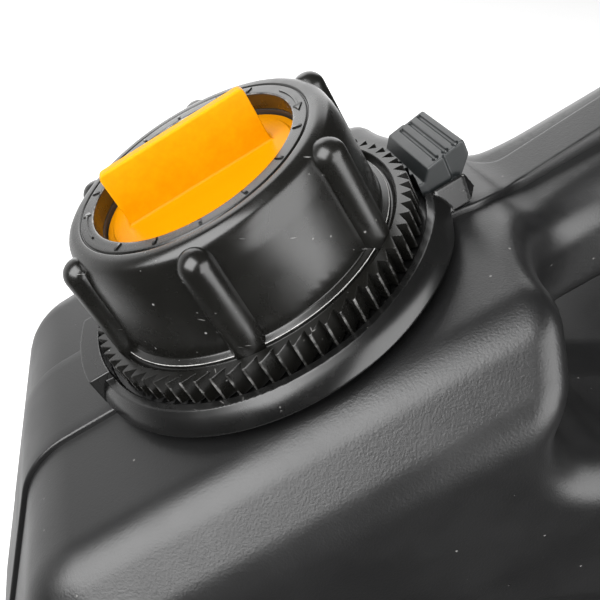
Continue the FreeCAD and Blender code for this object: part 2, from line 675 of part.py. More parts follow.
def make_lock_collar():
    """Ring on the pad around the neck, with a lug block and two ears for the lever."""
    bore = NECK_RADIUS + COLLAR_BORE_GAP
    crest_run = (COLLAR_OUTER - COLLAR_INNER) / 3
    profile = [
        (bore, COLLAR_LIFT),
        (COLLAR_OUTER - COLLAR_CHAMFER, COLLAR_LIFT),
        (COLLAR_OUTER, COLLAR_EDGE_Z),
        (COLLAR_OUTER - crest_run / 2, COLLAR_CREST - COLLAR_SLOPE_DROP),
        (COLLAR_INNER + crest_run, COLLAR_CREST - COLLAR_CREST_DROP),
        (COLLAR_INNER + COLLAR_CREST_FLAT, COLLAR_CREST),
        (COLLAR_INNER, COLLAR_CREST - COLLAR_CREST_DROP),
        (COLLAR_INNER, COLLAR_FLOOR),
        (bore, COLLAR_FLOOR),
    ]
    ring = revolve(profile)
    lug_outer = COLLAR_OUTER - LUG_SETBACK
    lug = tube(lug_outer, COLLAR_INNER, COLLAR_LIFT, LUG_TOP)
    keep_corner = Vector(-lug_outer - PAST, -LUG_HALF_WIDTH, 0)
    keep = Part.makeBox(lug_outer, 2 * LUG_HALF_WIDTH, LUG_TOP + PAST, keep_corner)
    window = LEVER_HALF_WIDTH + LEVER_SIDE_GAP
    ears = []
    ear_inner = COLLAR_INNER + EAR_SETBACK
    ear_length = COLLAR_OUTER + EAR_STAND - ear_inner
    for y in (window, -window - EAR_THICK):
        corner = Vector(ear_inner, y, COLLAR_LIFT)
        ears.append(Part.makeBox(ear_length, EAR_THICK, EAR_TOP - COLLAR_LIFT, corner))
    shape = ring.fuse([lug.common(keep)] + ears)
    slot_x = math.sqrt(RATCHET_TIP ** 2 - window ** 2)
    slot = Part.makeBox(COLLAR_OUTER, 2 * window, 2 * EAR_TOP, Vector(slot_x, -window, -PAST))
    pin = Part.makeCylinder(PIVOT_RADIUS + PIVOT_GAP, 4 * LEVER_HALF_WIDTH, Vector(PIVOT_X, 0, PIVOT_Z))
    pin.rotate(Vector(PIVOT_X, 0, PIVOT_Z), Vector(1, 0, 0), 90)
    pin.translate(Vector(0, 2 * LEVER_HALF_WIDTH, 0))
    return shape.cut([slot, pin] + keys(KEY_GAP)).removeSplitter()


def ratchet_mate():
    """Space that the lever keeps free: a round wall with a few pawl teeth left standing."""
    wall = Part.makeCylinder(LEVER_WALL, 2 * RATCHET_HIGH)
    pitch = 360.0 / RATCHET_TEETH
    clear = RATCHET_TIP + PAWL_GAP
    teeth = []
    first = RATCHET_PHASE - pitch * round(RATCHET_PHASE / pitch)
    for tooth in range(PAWL_TEETH):
        start = first + (tooth - PAWL_TEETH // 2) * pitch
        end = start + pitch * PAWL_SHARE
        corners = [(clear, start), (LEVER_WALL + PAST, start), (LEVER_WALL + PAST, end)]
        points = []
        for radius, angle in corners:
            turn = math.radians(angle)
            points.append(Vector(radius * math.cos(turn), radius * math.sin(turn), 0))
        wire = Part.makePolygon(points + points[:1])
        teeth.append(Part.Face(wire).extrude(Vector(0, 0, 2 * RATCHET_HIGH)))
    return wall.cut(teeth)


def make_release_lever():
    """Thumb lever with a grooved plate, a pawl beside the ratchet and two pivot stubs."""
    top_in = (PIVOT_X - PLATE_INNER_RUN, PLATE_INNER_Z)
    top_out = (PIVOT_X + PLATE_OUTER_RUN, PLATE_OUTER_Z)
    side = [
        (RATCHET_TIP - PAST, LEVER_FOOT + LEVER_HEEL),
        (LEVER_WALL + PAST, LEVER_FOOT),
        (PIVOT_X, LEVER_FOOT),
        (top_out[0], top_out[1] - LEVER_LIP),
        top_out,
        top_in,
        (LEVER_WALL, LEVER_NECK_Z),
        (RATCHET_TIP - PAST, LEVER_NECK_Z),
    ]
    body = prism_y(side, LEVER_HALF_WIDTH).cut(ratchet_mate())
    stub_half = LEVER_HALF_WIDTH + LEVER_SIDE_GAP + PIVOT_LENGTH
    stubs = Part.makeCylinder(PIVOT_RADIUS, 2 * stub_half)
    stubs.rotate(Vector(0, 0, 0), Vector(1, 0, 0), 90)
    stubs.translate(Vector(PIVOT_X, stub_half, PIVOT_Z))
    grooves = []
    slope = math.atan2(top_out[1] - top_in[1], top_out[0] - top_in[0])
    for index in range(GROOVE_COUNT):
        run = GROOVE_FIRST + index * GROOVE_PITCH
        place = Vector(top_in[0] + run * math.cos(slope), 0, top_in[1] + run * math.sin(slope))
        groove = Part.makeCylinder(GROOVE_RADIUS, 2 * GROOVE_HALF_LENGTH)
        groove.rotate(Vector(0, 0, 0), Vector(1, 0, 0), 90)
        groove.translate(place + Vector(0, GROOVE_HALF_LENGTH, 0))
        grooves.append(groove)
    return body.fuse(stubs).cut(grooves).removeSplitter()


PIECES = {
    "ring_cap": make_ring_cap,
    "stopper": make_stopper,
    "stopper_oring": make_stopper_oring,
    "neck_gasket": make_neck_gasket,
    "pouring_spout": make_pouring_spout,
    "lock_collar": make_lock_collar,
    "release_lever": make_release_lever,
}


def main():
    """Build every piece and write one STEP file each."""
    os.makedirs("parts", exist_ok=True)
    make_can_body().exportStep("parts/can_body.step")
    for name, make in PIECES.items():
        on_neck(make()).exportStep(f"parts/{name}.step")


main()
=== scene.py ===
"""Looks of a slim fuel can with a tilted screw neck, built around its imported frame.

Lengths inside the classes are millimetres and are turned into metres when a mesh is written. The "neck frame"
has its origin where the neck's axis meets the pad, z along the neck and x up the slope. Corners of an outline
are (across, up, radius of the rounded corner).
"""

import logging
import math
from contextlib import contextmanager
from dataclasses import dataclass, field
from enum import Enum
from typing import Callable, Iterator

import bmesh
import bpy
import numpy as np
from mathutils import Matrix, Vector


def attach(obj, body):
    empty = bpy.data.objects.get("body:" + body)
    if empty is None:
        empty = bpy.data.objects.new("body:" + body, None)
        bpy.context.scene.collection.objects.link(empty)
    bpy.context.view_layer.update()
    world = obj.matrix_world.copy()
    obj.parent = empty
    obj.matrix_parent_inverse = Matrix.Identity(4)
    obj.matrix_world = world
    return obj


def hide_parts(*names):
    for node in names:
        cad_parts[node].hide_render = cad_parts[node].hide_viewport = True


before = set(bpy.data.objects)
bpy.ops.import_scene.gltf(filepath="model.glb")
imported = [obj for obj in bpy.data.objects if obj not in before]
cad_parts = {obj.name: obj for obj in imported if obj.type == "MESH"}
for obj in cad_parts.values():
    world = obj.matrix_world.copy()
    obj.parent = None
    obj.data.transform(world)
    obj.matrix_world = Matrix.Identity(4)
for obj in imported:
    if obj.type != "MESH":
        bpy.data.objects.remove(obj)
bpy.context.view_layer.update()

Array = np.ndarray
Field = Callable[[Array, Array, Array], Array]
MM = 0.001
PIVOT_X, PIVOT_Z = 44.4, 3.1  # the lever's pivot in the neck frame
TEETH = 70  # saw teeth round the ring
TOOTH_PHASE = 3.03  # angle of the first tooth in degrees
log = logging.getLogger("jerry_can")


class Body(Enum):
    """CAD bodies that the pieces ride on."""

    CAN = "can"
    LEVER = "lever"
    SPOUT = "spout"
    RING = "ring"
    SEAL = "stopper_seal"
    STOPPER = "stopper"


class Slot(Enum):
    """Material slots of the record."""

    CAN = "can_plastic"
    COLLAR = "collar_plastic"
    CAP = "cap_plastic"
    STOPPER = "stopper_plastic"
    RUBBER = "seal_rubber"
    SPOUT = "spout_plastic"


# ------------------------------------------------------------------ small geometry
def smooth_step(value: Array) -> Array:
    """Ramp from 0 to 1 with level ends: 3t^2 - 2t^3 of the clipped value.

    Args:
        value: Position along the ramp, 0 to 1.

    Returns:
        The ramp's height.
    """
    t = np.clip(value, 0.0, 1.0)
    return t * t * (3.0 - 2.0 * t)


def round_max(a: Array, b: Array, radius: float) -> Array:
    """Intersection of two solids whose common edge is rounded: a quarter circle replaces the corner.

    Args:
        a: Signed distances to the first solid.
        b: Signed distances to the second solid.
        radius: Radius of the rounded edge.

    Returns:
        Signed distances to the rounded intersection.
    """
    corner = np.hypot(np.maximum(a + radius, 0.0), np.maximum(b + radius, 0.0))
    return np.minimum(np.maximum(a, b), -radius) + corner


def round_min(a: Array, b: Array, radius: float) -> Array:
    """Union of two solids with a hollow fillet, the opposite of round_max.

    Args:
        a: Signed distances to the first solid.
        b: Signed distances to the second solid.
        radius: Radius of the fillet.

    Returns:
        Signed distances to the filleted union.
    """
    return -round_max(-a, -b, radius)


@dataclass(frozen=True)
class NeckFrame:
    """Place of the neck on the can."""

    x: float = -92.3
    z: float = 320.9
    tilt: float = math.radians(36.0)

    def to_row(self, points: Array) -> Array:
        """Turn neck frame points about Y by the tilt and move them to the can.

        Args:
            points: Places in the neck frame, one in each last axis.

        Returns:
            The places on the can.
        """
        c, s = math.cos(self.tilt), math.sin(self.tilt)
        u, v, w = np.moveaxis(points, -1, 0)
        return np.stack([self.x + u * c - w * s, v, self.z + u * s + w * c], -1)

    def from_row(self, points: Array) -> Array:
        """The inverse of to_row.

        Args:
            points: Places on the can, one in each last axis.

        Returns:
            The places in the neck frame.
        """
        c, s = math.cos(self.tilt), math.sin(self.tilt)
        u, v, w = points[..., 0] - self.x, points[..., 1], points[..., 2] - self.z
        return np.stack([u * c + w * s, v, w * c - u * s], -1)


NECK = NeckFrame()


class Outline:
    """Closed flat outline of straight runs joined by tangent arcs."""

    def __init__(self, corners: list[tuple[float, float, float]]) -> None:
        """Work out the arcs.

        Args:
            corners: (u, v, radius) of every corner, in order round the outline.
        """
        data = np.array(corners, float)
        p, self.radius = data[:, :2], data[:, 2]
        area = np.sum(p[:, 0] * np.roll(p[:, 1], -1) - np.roll(p[:, 0], -1) * p[:, 1])
        if area < 0:
            p, self.radius = p[::-1], self.radius[::-1]
        back = np.roll(p, 1, 0) - p
        ahead = np.roll(p, -1, 0) - p
        back /= np.linalg.norm(back, axis=1, keepdims=True)
        ahead /= np.linalg.norm(ahead, axis=1, keepdims=True)
        self.half = np.arccos(np.clip((back * ahead).sum(1), -1, 1)) / 2
        middle = back + ahead
        middle /= np.linalg.norm(middle, axis=1, keepdims=True)
        reach = (self.radius / np.tan(self.half))[:, None]
        self.centre = p + middle * (self.radius / np.sin(self.half))[:, None]
        self.start, self.end = p + back * reach, p + ahead * reach
        self.middle = -middle
        self.convex = np.where(ahead[:, 0] * back[:, 1] - ahead[:, 1] * back[:, 0] > 0, 1.0, -1.0)
        run = np.roll(self.start, -1, 0) - self.end
        self.length = np.maximum(np.linalg.norm(run, axis=1), 1e-9)
        self.along = run / self.length[:, None]

    def distance(self, u: Array, v: Array) -> Array:
        """Signed distance, negative inside: the nearest arc's or run's own distance.

        Args:
            u: First coordinates.
            v: Second coordinates, of a shape that broadcasts with u.

        Returns:
            Signed distances.
        """
        u, v = np.broadcast_arrays(u, v)
        best = np.full(u.shape, 1e6)
        for i in range(len(self.radius)):
            du, dv = u - self.centre[i, 0], v - self.centre[i, 1]
            far = np.hypot(du, dv)
            within = du * self.middle[i, 0] + dv * self.middle[i, 1] >= far * math.sin(self.half[i]) - 1e-9
            d = self.convex[i] * (far - self.radius[i])
            best = np.where(within & (np.abs(d) < np.abs(best)), d, best)
            du, dv = u - self.end[i, 0], v - self.end[i, 1]
            t = du * self.along[i, 0] + dv * self.along[i, 1]
            d = du * self.along[i, 1] - dv * self.along[i, 0]
            within = (t >= 0) & (t <= self.length[i])
            best = np.where(within & (np.abs(d) < np.abs(best)), d, best)
        return best

    def path(self, turn: float, span: float) -> tuple[Array, Array]:
        """Points along the outline: even angles on arcs, even lengths on runs.

        Args:
            turn: Largest turn between two points of an arc, in radians.
            span: Largest gap between two points of a straight run.

        Returns:
            Points and outward normals, one row each.
        """
        points, normals = [], []
        for i in range(len(self.radius)):
            sweep = math.pi / 2 - self.half[i]
            steps = math.ceil(2 * sweep / turn) if self.radius[i] > 0 else 0
            if not steps:
                points.append(self.centre[i:i + 1])
                normals.append(self.middle[i:i + 1])
            else:
                first = math.atan2(self.middle[i, 1], self.middle[i, 0])
                a = first + self.convex[i] * np.linspace(-sweep, sweep, steps + 1)
                ray = np.stack([np.cos(a), np.sin(a)], 1)
                points.append(self.centre[i] + self.radius[i] * ray)
                normals.append(self.convex[i] * ray)
            inner = np.arange(1, math.ceil(self.length[i] / span))
            if len(inner):
                reach = inner / (len(inner) + 1) * self.length[i]
                points.append(self.end[i] + self.along[i] * reach[:, None])
                normals.append(np.tile([self.along[i, 1], -self.along[i, 0]], (len(inner), 1)))
        return np.concatenate(points), np.concatenate(normals)


# ------------------------------------------------------------------ meshes
def grid_quads(rows: int, columns: int, wrap_rows: bool, wrap_columns: bool) -> Array:
    """Vertex numbers of the quads of a grid that may close on itself either way.

    Args:
        rows: Rows of vertices.
        columns: Columns of vertices.
        wrap_rows: Whether the last row joins the first.
        wrap_columns: Whether the last column joins the first.

    Returns:
        One row of four vertex numbers for each quad.
    """
    i = np.arange(rows if wrap_rows else rows - 1)
    j = np.arange(columns if wrap_columns else columns - 1)
    i, j = np.meshgrid(i, j, indexing="ij")
    i2, j2 = (i + 1) % rows * columns, (j + 1) % columns
    i = i * columns
    return np.stack([i + j, i2 + j, i2 + j2, i + j2], -1).reshape(-1, 4)


def polar(r: Array, angle: Array, z: Array) -> Array:
    """Points (r cos a, r sin a, z)."""
    return np.stack([r * np.cos(angle), r * np.sin(angle), z], -1)


@contextmanager
def edited(mesh: bpy.types.Mesh) -> Iterator[bmesh.types.BMesh]:
    """Open a mesh for editing and close it with every face pointing outwards.

    Args:
        mesh: The mesh.

    Yields:
        Its editable copy, written back at the end.
    """
    work = bmesh.new()
    work.from_mesh(mesh)
    yield work
    bmesh.ops.recalc_face_normals(work, faces=work.faces)
    work.to_mesh(mesh)
    work.free()


@dataclass
class Surface:
    """Vertices and quads of one closed surface in millimetres, with wear and normals where they are given."""

    points: Array
    quads: Array
    wear: Array | None = None
    normals: Array | None = None

    def joined(self, *others: "Surface") -> "Surface":
        """This surface and others as one, each with its own vertices.

        Args:
            others: The other surfaces.

        Returns:
            One surface that holds them all.
        """
        parts = [self, *others]
        offsets = np.cumsum([0] + [len(s.points) for s in parts[:-1]])
        wear = np.concatenate([s.wear if s.wear is not None else np.zeros(len(s.points)) for s in parts])
        quads = np.concatenate([s.quads + o for s, o in zip(parts, offsets)])
        return Surface(np.concatenate([s.points for s in parts]), quads, wear)

    def in_row(self) -> "Surface":
        """The same surface moved from the neck frame to the can.

        Returns:
            The moved surface.
        """
        turned = None
        if self.normals is not None:
            turned = NECK.to_row(self.normals) - np.array([NECK.x, 0.0, NECK.z])
        return Surface(NECK.to_row(self.points), self.quads, self.wear, turned)

    def to_object(self, name: str, crease: float = 35.0) -> bpy.types.Object:
        """Write the surface as a mesh object whose faces point outwards.

        Args:
            name: Name of the object.
            crease: Angle in degrees above which an edge is shaded sharp, where no normals are given.

        Returns:
            The new object, linked to the scene.
        """
        mesh = bpy.data.meshes.new(name)
        mesh.vertices.add(len(self.points))
        mesh.vertices.foreach_set("co", (self.points * MM).astype(np.float32).ravel())
        mesh.loops.add(self.quads.size)
        mesh.loops.foreach_set("vertex_index", self.quads.astype(np.int32).ravel())
        mesh.polygons.add(len(self.quads))
        mesh.polygons.foreach_set("loop_start", np.arange(0, self.quads.size, 4, dtype=np.int32))
        mesh.polygons.foreach_set("use_smooth", np.ones(len(self.quads), bool))
        wear = mesh.attributes.new("wear", "FLOAT", "POINT")
        values = self.wear if self.wear is not None else np.zeros(len(self.points))
        wear.data.foreach_set("value", values.astype(np.float32))
        mesh.update(calc_edges=True)
        if self.normals is None:
            turn_outwards(mesh)
            mesh.set_sharp_from_angle(angle=math.radians(crease))
        else:
            mesh.normals_split_custom_set_from_vertices(self.normals.tolist())
        piece = bpy.data.objects.new(name, mesh)
        bpy.context.scene.collection.objects.link(piece)
        return piece


def turn_outwards(mesh: bpy.types.Mesh, gap: float = 1e-7) -> None:
    """Merge vertices closer than the gap, drop what that leaves empty, and point every face outwards.

    Args:
        mesh: The mesh.
        gap: Largest distance between vertices that are merged, in metres.
    """
    with edited(mesh) as work:
        bmesh.ops.remove_doubles(work, verts=work.verts, dist=gap)
        bmesh.ops.dissolve_degenerate(work, edges=work.edges, dist=gap)
        bmesh.ops.delete(work, geom=[v for v in work.verts if not v.link_faces], context="VERTS")
        bmesh.ops.delete(work, geom=[e for e in work.edges if not e.link_faces], context="EDGES")


def revolve(outline: Outline, count: int, turn: float = 0.35, span: float = 400.0,
            push: Callable[[Array, Array, Array], Array] | None = None) -> Surface:
    """Ring swept by an (r, z) outline about z: point = (r cos a, r sin a, z), with r changed by push.

    Args:
        outline: Cross-section in (r, z).
        count: Cross-sections in one round.
        turn: Largest turn between points of an arc of the outline.
        span: Largest gap between points of a straight run.
        push: New radius from (r, z, angle), or None.

    Returns:
        The closed ring.
    """
    profile, _ = outline.path(turn, span)
    angles = np.linspace(0.0, 2 * math.pi, count + 1)[:-1]
    a, r = np.meshgrid(angles, profile[:, 0], indexing="ij")
    z = np.broadcast_to(profile[:, 1], r.shape)
    if push is not None:
        r = push(r, z, a)
    return Surface(polar(r, a, z).reshape(-1, 3), grid_quads(count, len(profile), True, True))


def isosurface(solid: Field, axes: list[Array], relax: int = 3, settle: int = 3) -> Surface:
    """Surface where a field of signed distances is zero, for soft solids that no single grid wraps.

    Every cell that the surface crosses gets one vertex, at the mean of the crossings on its edges, and every
    crossed edge gets a quad of its four cells. The vertices then slide to even gaps and step along the
    field's slope on to the exact surface: p - f * g / |g|^2.

    Args:
        solid: Field, negative inside.
        axes: Grid positions along x, y and z, which run past the solid.
        relax: Rounds of evening out.
        settle: Rounds after them that only step on to the surface.

    Returns:
        The closed surface, with normals from the field's slope.
    """
    values = solid(*np.meshgrid(*axes, indexing="ij", sparse=True))
    inside = values < 0
    cells = np.array(values.shape) - 1
    quads, crossings = [], []
    for axis in range(3):
        low = np.take(inside, np.arange(cells[axis]), axis)
        high = np.take(inside, np.arange(1, cells[axis] + 1), axis)
        index = np.argwhere(low != high)
        ahead = index.copy()
        ahead[:, axis] += 1
        a, b = values[tuple(index.T)], values[tuple(ahead.T)]
        t = a / (a - b)
        point = np.stack([axes[k][index[:, k]] for k in range(3)], 1)
        point[:, axis] += t * (axes[axis][ahead[:, axis]] - point[:, axis])
        second, third = (axis + 1) % 3, (axis + 2) % 3
        ring = np.repeat(index[:, None, :], 4, 1)
        ring[:, :, second] += np.array([-1, 0, 0, -1])
        ring[:, :, third] += np.array([-1, -1, 0, 0])
        number = (ring[..., 0] * cells[1] + ring[..., 1]) * cells[2] + ring[..., 2]
        number[a > 0] = number[a > 0][:, ::-1]
        quads.append(number)
        crossings.append(np.repeat(point[:, None, :], 4, 1))
    number, crossing = np.concatenate(quads), np.concatenate(crossings).reshape(-1, 3)
    compact = np.unique(number.ravel(), return_inverse=True)[1].ravel()
    share = np.bincount(compact)
    points = np.stack([np.bincount(compact, crossing[:, k]) / share for k in range(3)], 1)
    faces = compact.reshape(-1, 4)
    reach, flattest = max(float(np.max(np.diff(axis))) for axis in axes), 0.05
    for turn in range(relax + settle):
        if turn < relax:
            around = points[faces].sum(1)
            pull = [np.bincount(faces.ravel(), np.repeat(around[:, k], 4)) for k in range(3)]
            points = 0.5 * points + 0.5 * np.stack(pull, 1) / (4.0 * share[:, None])
        value = solid(*points.T)
        slope = field_slope(solid, points)
        step = value[:, None] * slope / np.maximum((slope ** 2).sum(1, keepdims=True), flattest)
        size = np.linalg.norm(step, axis=1, keepdims=True)
        points = points - step * np.minimum(1.0, reach / np.maximum(size, 1e-9))
    slope = field_slope(solid, points)
    return Surface(points, faces, None, slope / np.linalg.norm(slope, axis=1, keepdims=True))


def field_slope(solid: Field, points: Array, step: float = 0.02) -> Array:
    """Slope of a field by differences across each axis.

    Args:
        solid: The field.
        points: Where to take it.
        step: Half the distance across.

    Returns:
        One slope vector for each point.
    """
    slopes = []
    for k in range(3):
        shift = np.zeros(3)
        shift[k] = step
        slopes.append((solid(*(points + shift).T) - solid(*(points - shift).T)) / (2 * step))
    return np.stack(slopes, 1)


def washer(inner: float, outer: float, low: float, high: float, corner: float) -> Outline:
    """Section of a flat ring whose corners are all rounded the same."""
    return Outline([(r, z, corner) for r, z in ((inner, low), (outer, low), (outer, high), (inner, high))])


def spaced(*runs: tuple[float, float, float]) -> Array:
    """Grid positions from (first, last, gap) runs that follow each other."""
    parts = [np.linspace(a, b, max(2, math.ceil((b - a) / gap) + 1))[:-1] for a, b, gap in runs]
    return np.append(np.concatenate(parts), runs[-1][1])


# ------------------------------------------------------------------ the can
@dataclass
class CanBody:
    """Blow-moulded can: soft hollow shell with handle, belt and rib along the parting line, threaded neck."""

    length: float = 302.0
    width: float = 116.0
    height: float = 376.0
    wall: float = 2.4
    base_radius: float = 24.0
    base_edge: float = 1.5
    facet_width: float = 12.0
    facet_drop: float = 13.0
    facet_radius: float = 13.0
    pad_proud: float = 1.3
    pad_half: float = 14.2
    rib_proud: float = 4.2
    rib_half: float = 5.5
    taper_start: float = -56.0
    taper_run: float = 18.0
    rise_start: float = -62.0
    rise_run: float = 67.0
    belt_sunk: float = 2.0
    belt_edge: float = 0.55
    belt_slant: float = 0.12
    scoop_start: float = -52.0
    scoop_half: float = 19.0
    scoop_floor_radius: float = 9.0
    scoop_edge: float = 9.0
    gap_start: float = -34.0
    gap_end: float = 100.0
    gap_floor: float = 314.0
    gap_top: float = 351.0
    gap_edge: float = 6.0
    panel_depth: float = 1.4
    panel_slope: float = 5.0
    base_hollow: float = 2.6
    base_slope: float = 7.0
    bore: float = 25.6
    neck_bore: float = 24.2
    neck_radius: float = 27.0
    neck_low: float = -8.6
    neck_top: float = 24.9
    side: Outline = field(init=False)
    rim: Outline = field(init=False)
    gap: Outline = field(init=False)
    panel: Outline = field(init=False)
    scoop_plan: Outline = field(init=False)
    foot: Outline = field(init=False)

    def __post_init__(self) -> None:
        """Lay out the flat outlines that the soft shell is made from."""
        left = -self.length / 2 + self.pad_proud
        right = self.length / 2 - self.rib_proud
        half = self.width / 2
        slope = math.tan(NECK.tilt)
        sink = -self.pad_proud / math.cos(NECK.tilt)

        def shoulder(x: float) -> float:
            """Height of the sloping shoulder at x."""
            return NECK.z + sink + (x - NECK.x) * slope

        self.side = Outline([
            (left, 0.0, self.base_radius), (right, 0.0, self.base_radius), (right, 338.0, 32.0),
            (98.0, self.height, 32.0), (1.0, self.height, 32.0), (-41.2, 345.2, 14.0),
            (-54.0, shoulder(-54.0), 19.0), (left + 6.6, shoulder(left + 6.6), 21.0), (left, 213.0, 60.0)])
        inner = half - self.facet_width
        far = 400.0
        r = self.facet_radius
        self.rim = Outline([
            (-half, -far, 1.0), (half, -far, 1.0), (half, -self.facet_drop, r), (inner, 0.0, r),
            (-inner, 0.0, r), (-half, -self.facet_drop, r)])
        start, end, floor, top = self.gap_start, self.gap_end, self.gap_floor, self.gap_top
        self.gap = Outline([
            (start, floor, 4.0), (end, floor, 8.0), (end, 339.6, 8.0), (93.6, top, 8.0), (7.2, top, 8.0),
            (start, 320.9, 2.0)])
        self.panel = Outline([(x, z, 22.0) for x, z in (
            (-117.0, 34.0), (114.0, 34.0), (114.0, 282.0), (-86.0, 282.0), (-117.0, 246.0))])
        start, end, side = self.scoop_start, 120.0, self.scoop_half
        self.scoop_plan = Outline([
            (start, side, 24.0), (end, side, 24.0), (end, far, 1.0), (start, far, 1.0)])
        self.foot = Outline([(x, y, 14.0) for x, y in (
            (-108.0, -28.0), (106.0, -28.0), (106.0, 28.0), (-108.0, 28.0))])

    def shell(self, x: Array, y: Array, z: Array) -> Array:
        """Signed distance to the soft shell without its belt.

        The side outline gives a depth below the edge, and (y, depth) in the rim outline gives the block. Two
        scoops and the finger gap are cut out with rounded edges. A shallow panel and a hollow foot are
        pressed in.

        Args:
            x: Positions along the can.
            y: Positions across it.
            z: Heights.

        Returns:
            Distances, negative inside.
        """
        depth = self.side.distance(x, z)
        press = self.panel_depth * smooth_step(-self.panel.distance(x, z) / self.panel_slope)
        block = self.rim.distance(y + np.sign(y) * press, depth)
        below = 2.0
        lift = (self.base_hollow + below) * smooth_step(-self.foot.distance(x, y) / self.base_slope) - below
        block = round_max(block, lift - z, self.base_edge)
        scoop = round_max(self.scoop_plan.distance(x, np.abs(y)), self.gap_floor - z, self.scoop_floor_radius)
        block = round_max(block, -scoop, self.scoop_edge)
        return round_max(block, -self.gap.distance(x, z), self.gap_edge)

    def skin(self) -> Surface:
        """Outer and inner skin of the shell, cut away round the neck's bore.

        Returns:
            Both skins, open where the bore goes through.
        """
        fine_x = spaced((-153.5, -28.0, 1.6), (-28.0, 149.5, 2.8))
        fine_y = spaced((-61.0, -13.0, 1.6), (-13.0, 13.0, 2.9), (13.0, 61.0, 1.6))
        fine_z = spaced((-3.0, 30.0, 2.4), (30.0, 276.0, 7.0), (276.0, 379.0, 1.6))
        outer = isosurface(self.shell, [fine_x, fine_y, fine_z])
        coarse = [spaced((-153.0, 151.0, 5.2)), spaced((-60.0, 60.0, 5.0)), spaced((-2.0, 381.0, 5.2))]
        inner = isosurface(lambda x, y, z: self.shell(x, y, z) + self.wall, coarse)
        inner = Surface(inner.points, inner.quads[:, ::-1], None, -inner.normals)
        quads = np.concatenate([outer.quads, inner.quads + len(outer.points)])
        points = np.concatenate([outer.points, inner.points])
        local = NECK.from_row(points)
        near = (np.hypot(local[:, 0], local[:, 1]) < self.bore) & (np.abs(local[:, 2]) < 12.0)
        kept = quads[~near[quads].any(1)]
        return Surface(points, kept, None, np.concatenate([outer.normals, inner.normals]))

    def close_bore(self, piece: bpy.types.Object) -> None:
        """Pull both cut edges to the bore's circle, join them with a wall and shade by the field's own slope.

        Args:
            piece: The shell's object, open round the bore.
        """
        with edited(piece.data) as work:
            bmesh.ops.delete(work, geom=[v for v in work.verts if not v.link_faces], context="VERTS")
            edges = [e for e in work.edges if e.is_boundary]
            ring = list({v for e in edges for v in e.verts})
            local = NECK.from_row(np.array([v.co for v in ring]) / MM)
            local[:, :2] *= (self.bore / np.hypot(local[:, 0], local[:, 1]))[:, None]
            for vertex, place in zip(ring, NECK.to_row(local) * MM):
                vertex.co = place
            bmesh.ops.bridge_loops(work, edges=edges)
        place = np.zeros(len(piece.data.vertices) * 3, np.float32)
        piece.data.vertices.foreach_get("co", place)
        place = place.reshape(-1, 3).astype(float) / MM
        slope = field_slope(self.shell, place)
        slope *= np.where(self.shell(*place.T) < -self.wall / 2, -1.0, 1.0)[:, None]
        piece.data.normals_split_custom_set_from_vertices(slope.tolist())

    def belt(self) -> Surface:
        """Belt, pad and rib: a low profile carried along the shell's side outline.

        The width shrinks from the pad's to the rib's behind the lever, the height grows, and both sink into
        the shell at the floor. Across, the top is flat with rounded edges and slightly sloping sides. Where
        the neck's bore cuts it, the ends follow the bore's circle.

        Returns:
            The strip, open at its two ends.
        """
        path, normal = self.side.path(math.radians(4.0), 3.0)
        x, z = path[:, 0], path[:, 1]
        top = z > self.height / 2
        far_end = (x > 0).astype(float)
        taper = np.where(top, smooth_step((x - self.taper_start) / self.taper_run), far_end)
        half = self.pad_half + (self.rib_half - self.pad_half) * taper
        rise = np.where(top, np.clip((x - self.rise_start) / self.rise_run, 0.0, 1.0), far_end)
        proud = self.pad_proud + (self.rib_proud - self.pad_proud) * smooth_step(rise)
        above, merge, buried, dip = z - 1.0, 22.0, 10.0, 0.6
        proud = proud * smooth_step(above / merge) - dip * (1.0 - smooth_step(above / buried))
        sunk, edge, root = self.belt_sunk, self.belt_edge, 0.3
        angle = np.linspace(0.0, math.pi / 2, 5)
        lift_across = np.concatenate([[-sunk, -root], -edge + edge * np.sin(angle)])
        in_across = np.concatenate([[0.0, 0.0], edge * (1.0 - np.cos(angle))])
        from_top = np.arange(len(lift_across)) > 1
        height = np.where(from_top, proud[:, None] + lift_across, lift_across)
        slant = self.belt_slant * np.maximum(height + root, 0.0)
        out = half[:, None] - in_across - slant
        flat = half[:, None] * np.linspace(-0.75, 0.75, 7)
        across = np.concatenate([-out, flat, out[:, ::-1], -flat], 1)
        roof, under = (np.repeat(height[:, k:k + 1], flat.shape[1], 1) for k in (height.shape[1] - 1, 0))
        level = np.concatenate([height, roof, height[:, ::-1], under], 1)
        px = x[:, None] + normal[:, :1] * level
        pz = z[:, None] + normal[:, 1:] * level
        points = np.stack([px, across, np.maximum(pz, 0.02)], -1)
        local = NECK.from_row(points)
        edge_u = np.sqrt(self.bore ** 2 - local[..., 1] ** 2)
        margin, depth, crossing = 1.5, 8.0, 30.0
        inside = (np.abs(local[..., 0]) < edge_u + margin) & (np.abs(local[..., 2]) < depth)
        local[..., 0] = np.where(inside, np.sign(local[..., 0]) * edge_u, local[..., 0])
        points = np.where(inside[..., None], NECK.to_row(local), points).reshape(-1, 3)
        quads = grid_quads(len(path), across.shape[1], True, True)
        spread = np.ptp(NECK.from_row(points)[quads][..., 0], 1)
        return Surface(points, quads[(spread < crossing) | ~inside.ravel()[quads].all(1)])

    def cap_ends(self, piece: bpy.types.Object) -> None:
        """Close the belt's two ends inside the neck's wall.

        Args:
            piece: The belt's object, open at its two ends.
        """
        with edited(piece.data) as work:
            edges = [e for e in work.edges if e.is_boundary]
            for front in (True, False):
                loop = [e for e in edges if (e.verts[0].co.x < NECK.x * MM) == front]
                bmesh.ops.triangle_fill(work, use_beauty=True, edges=loop)

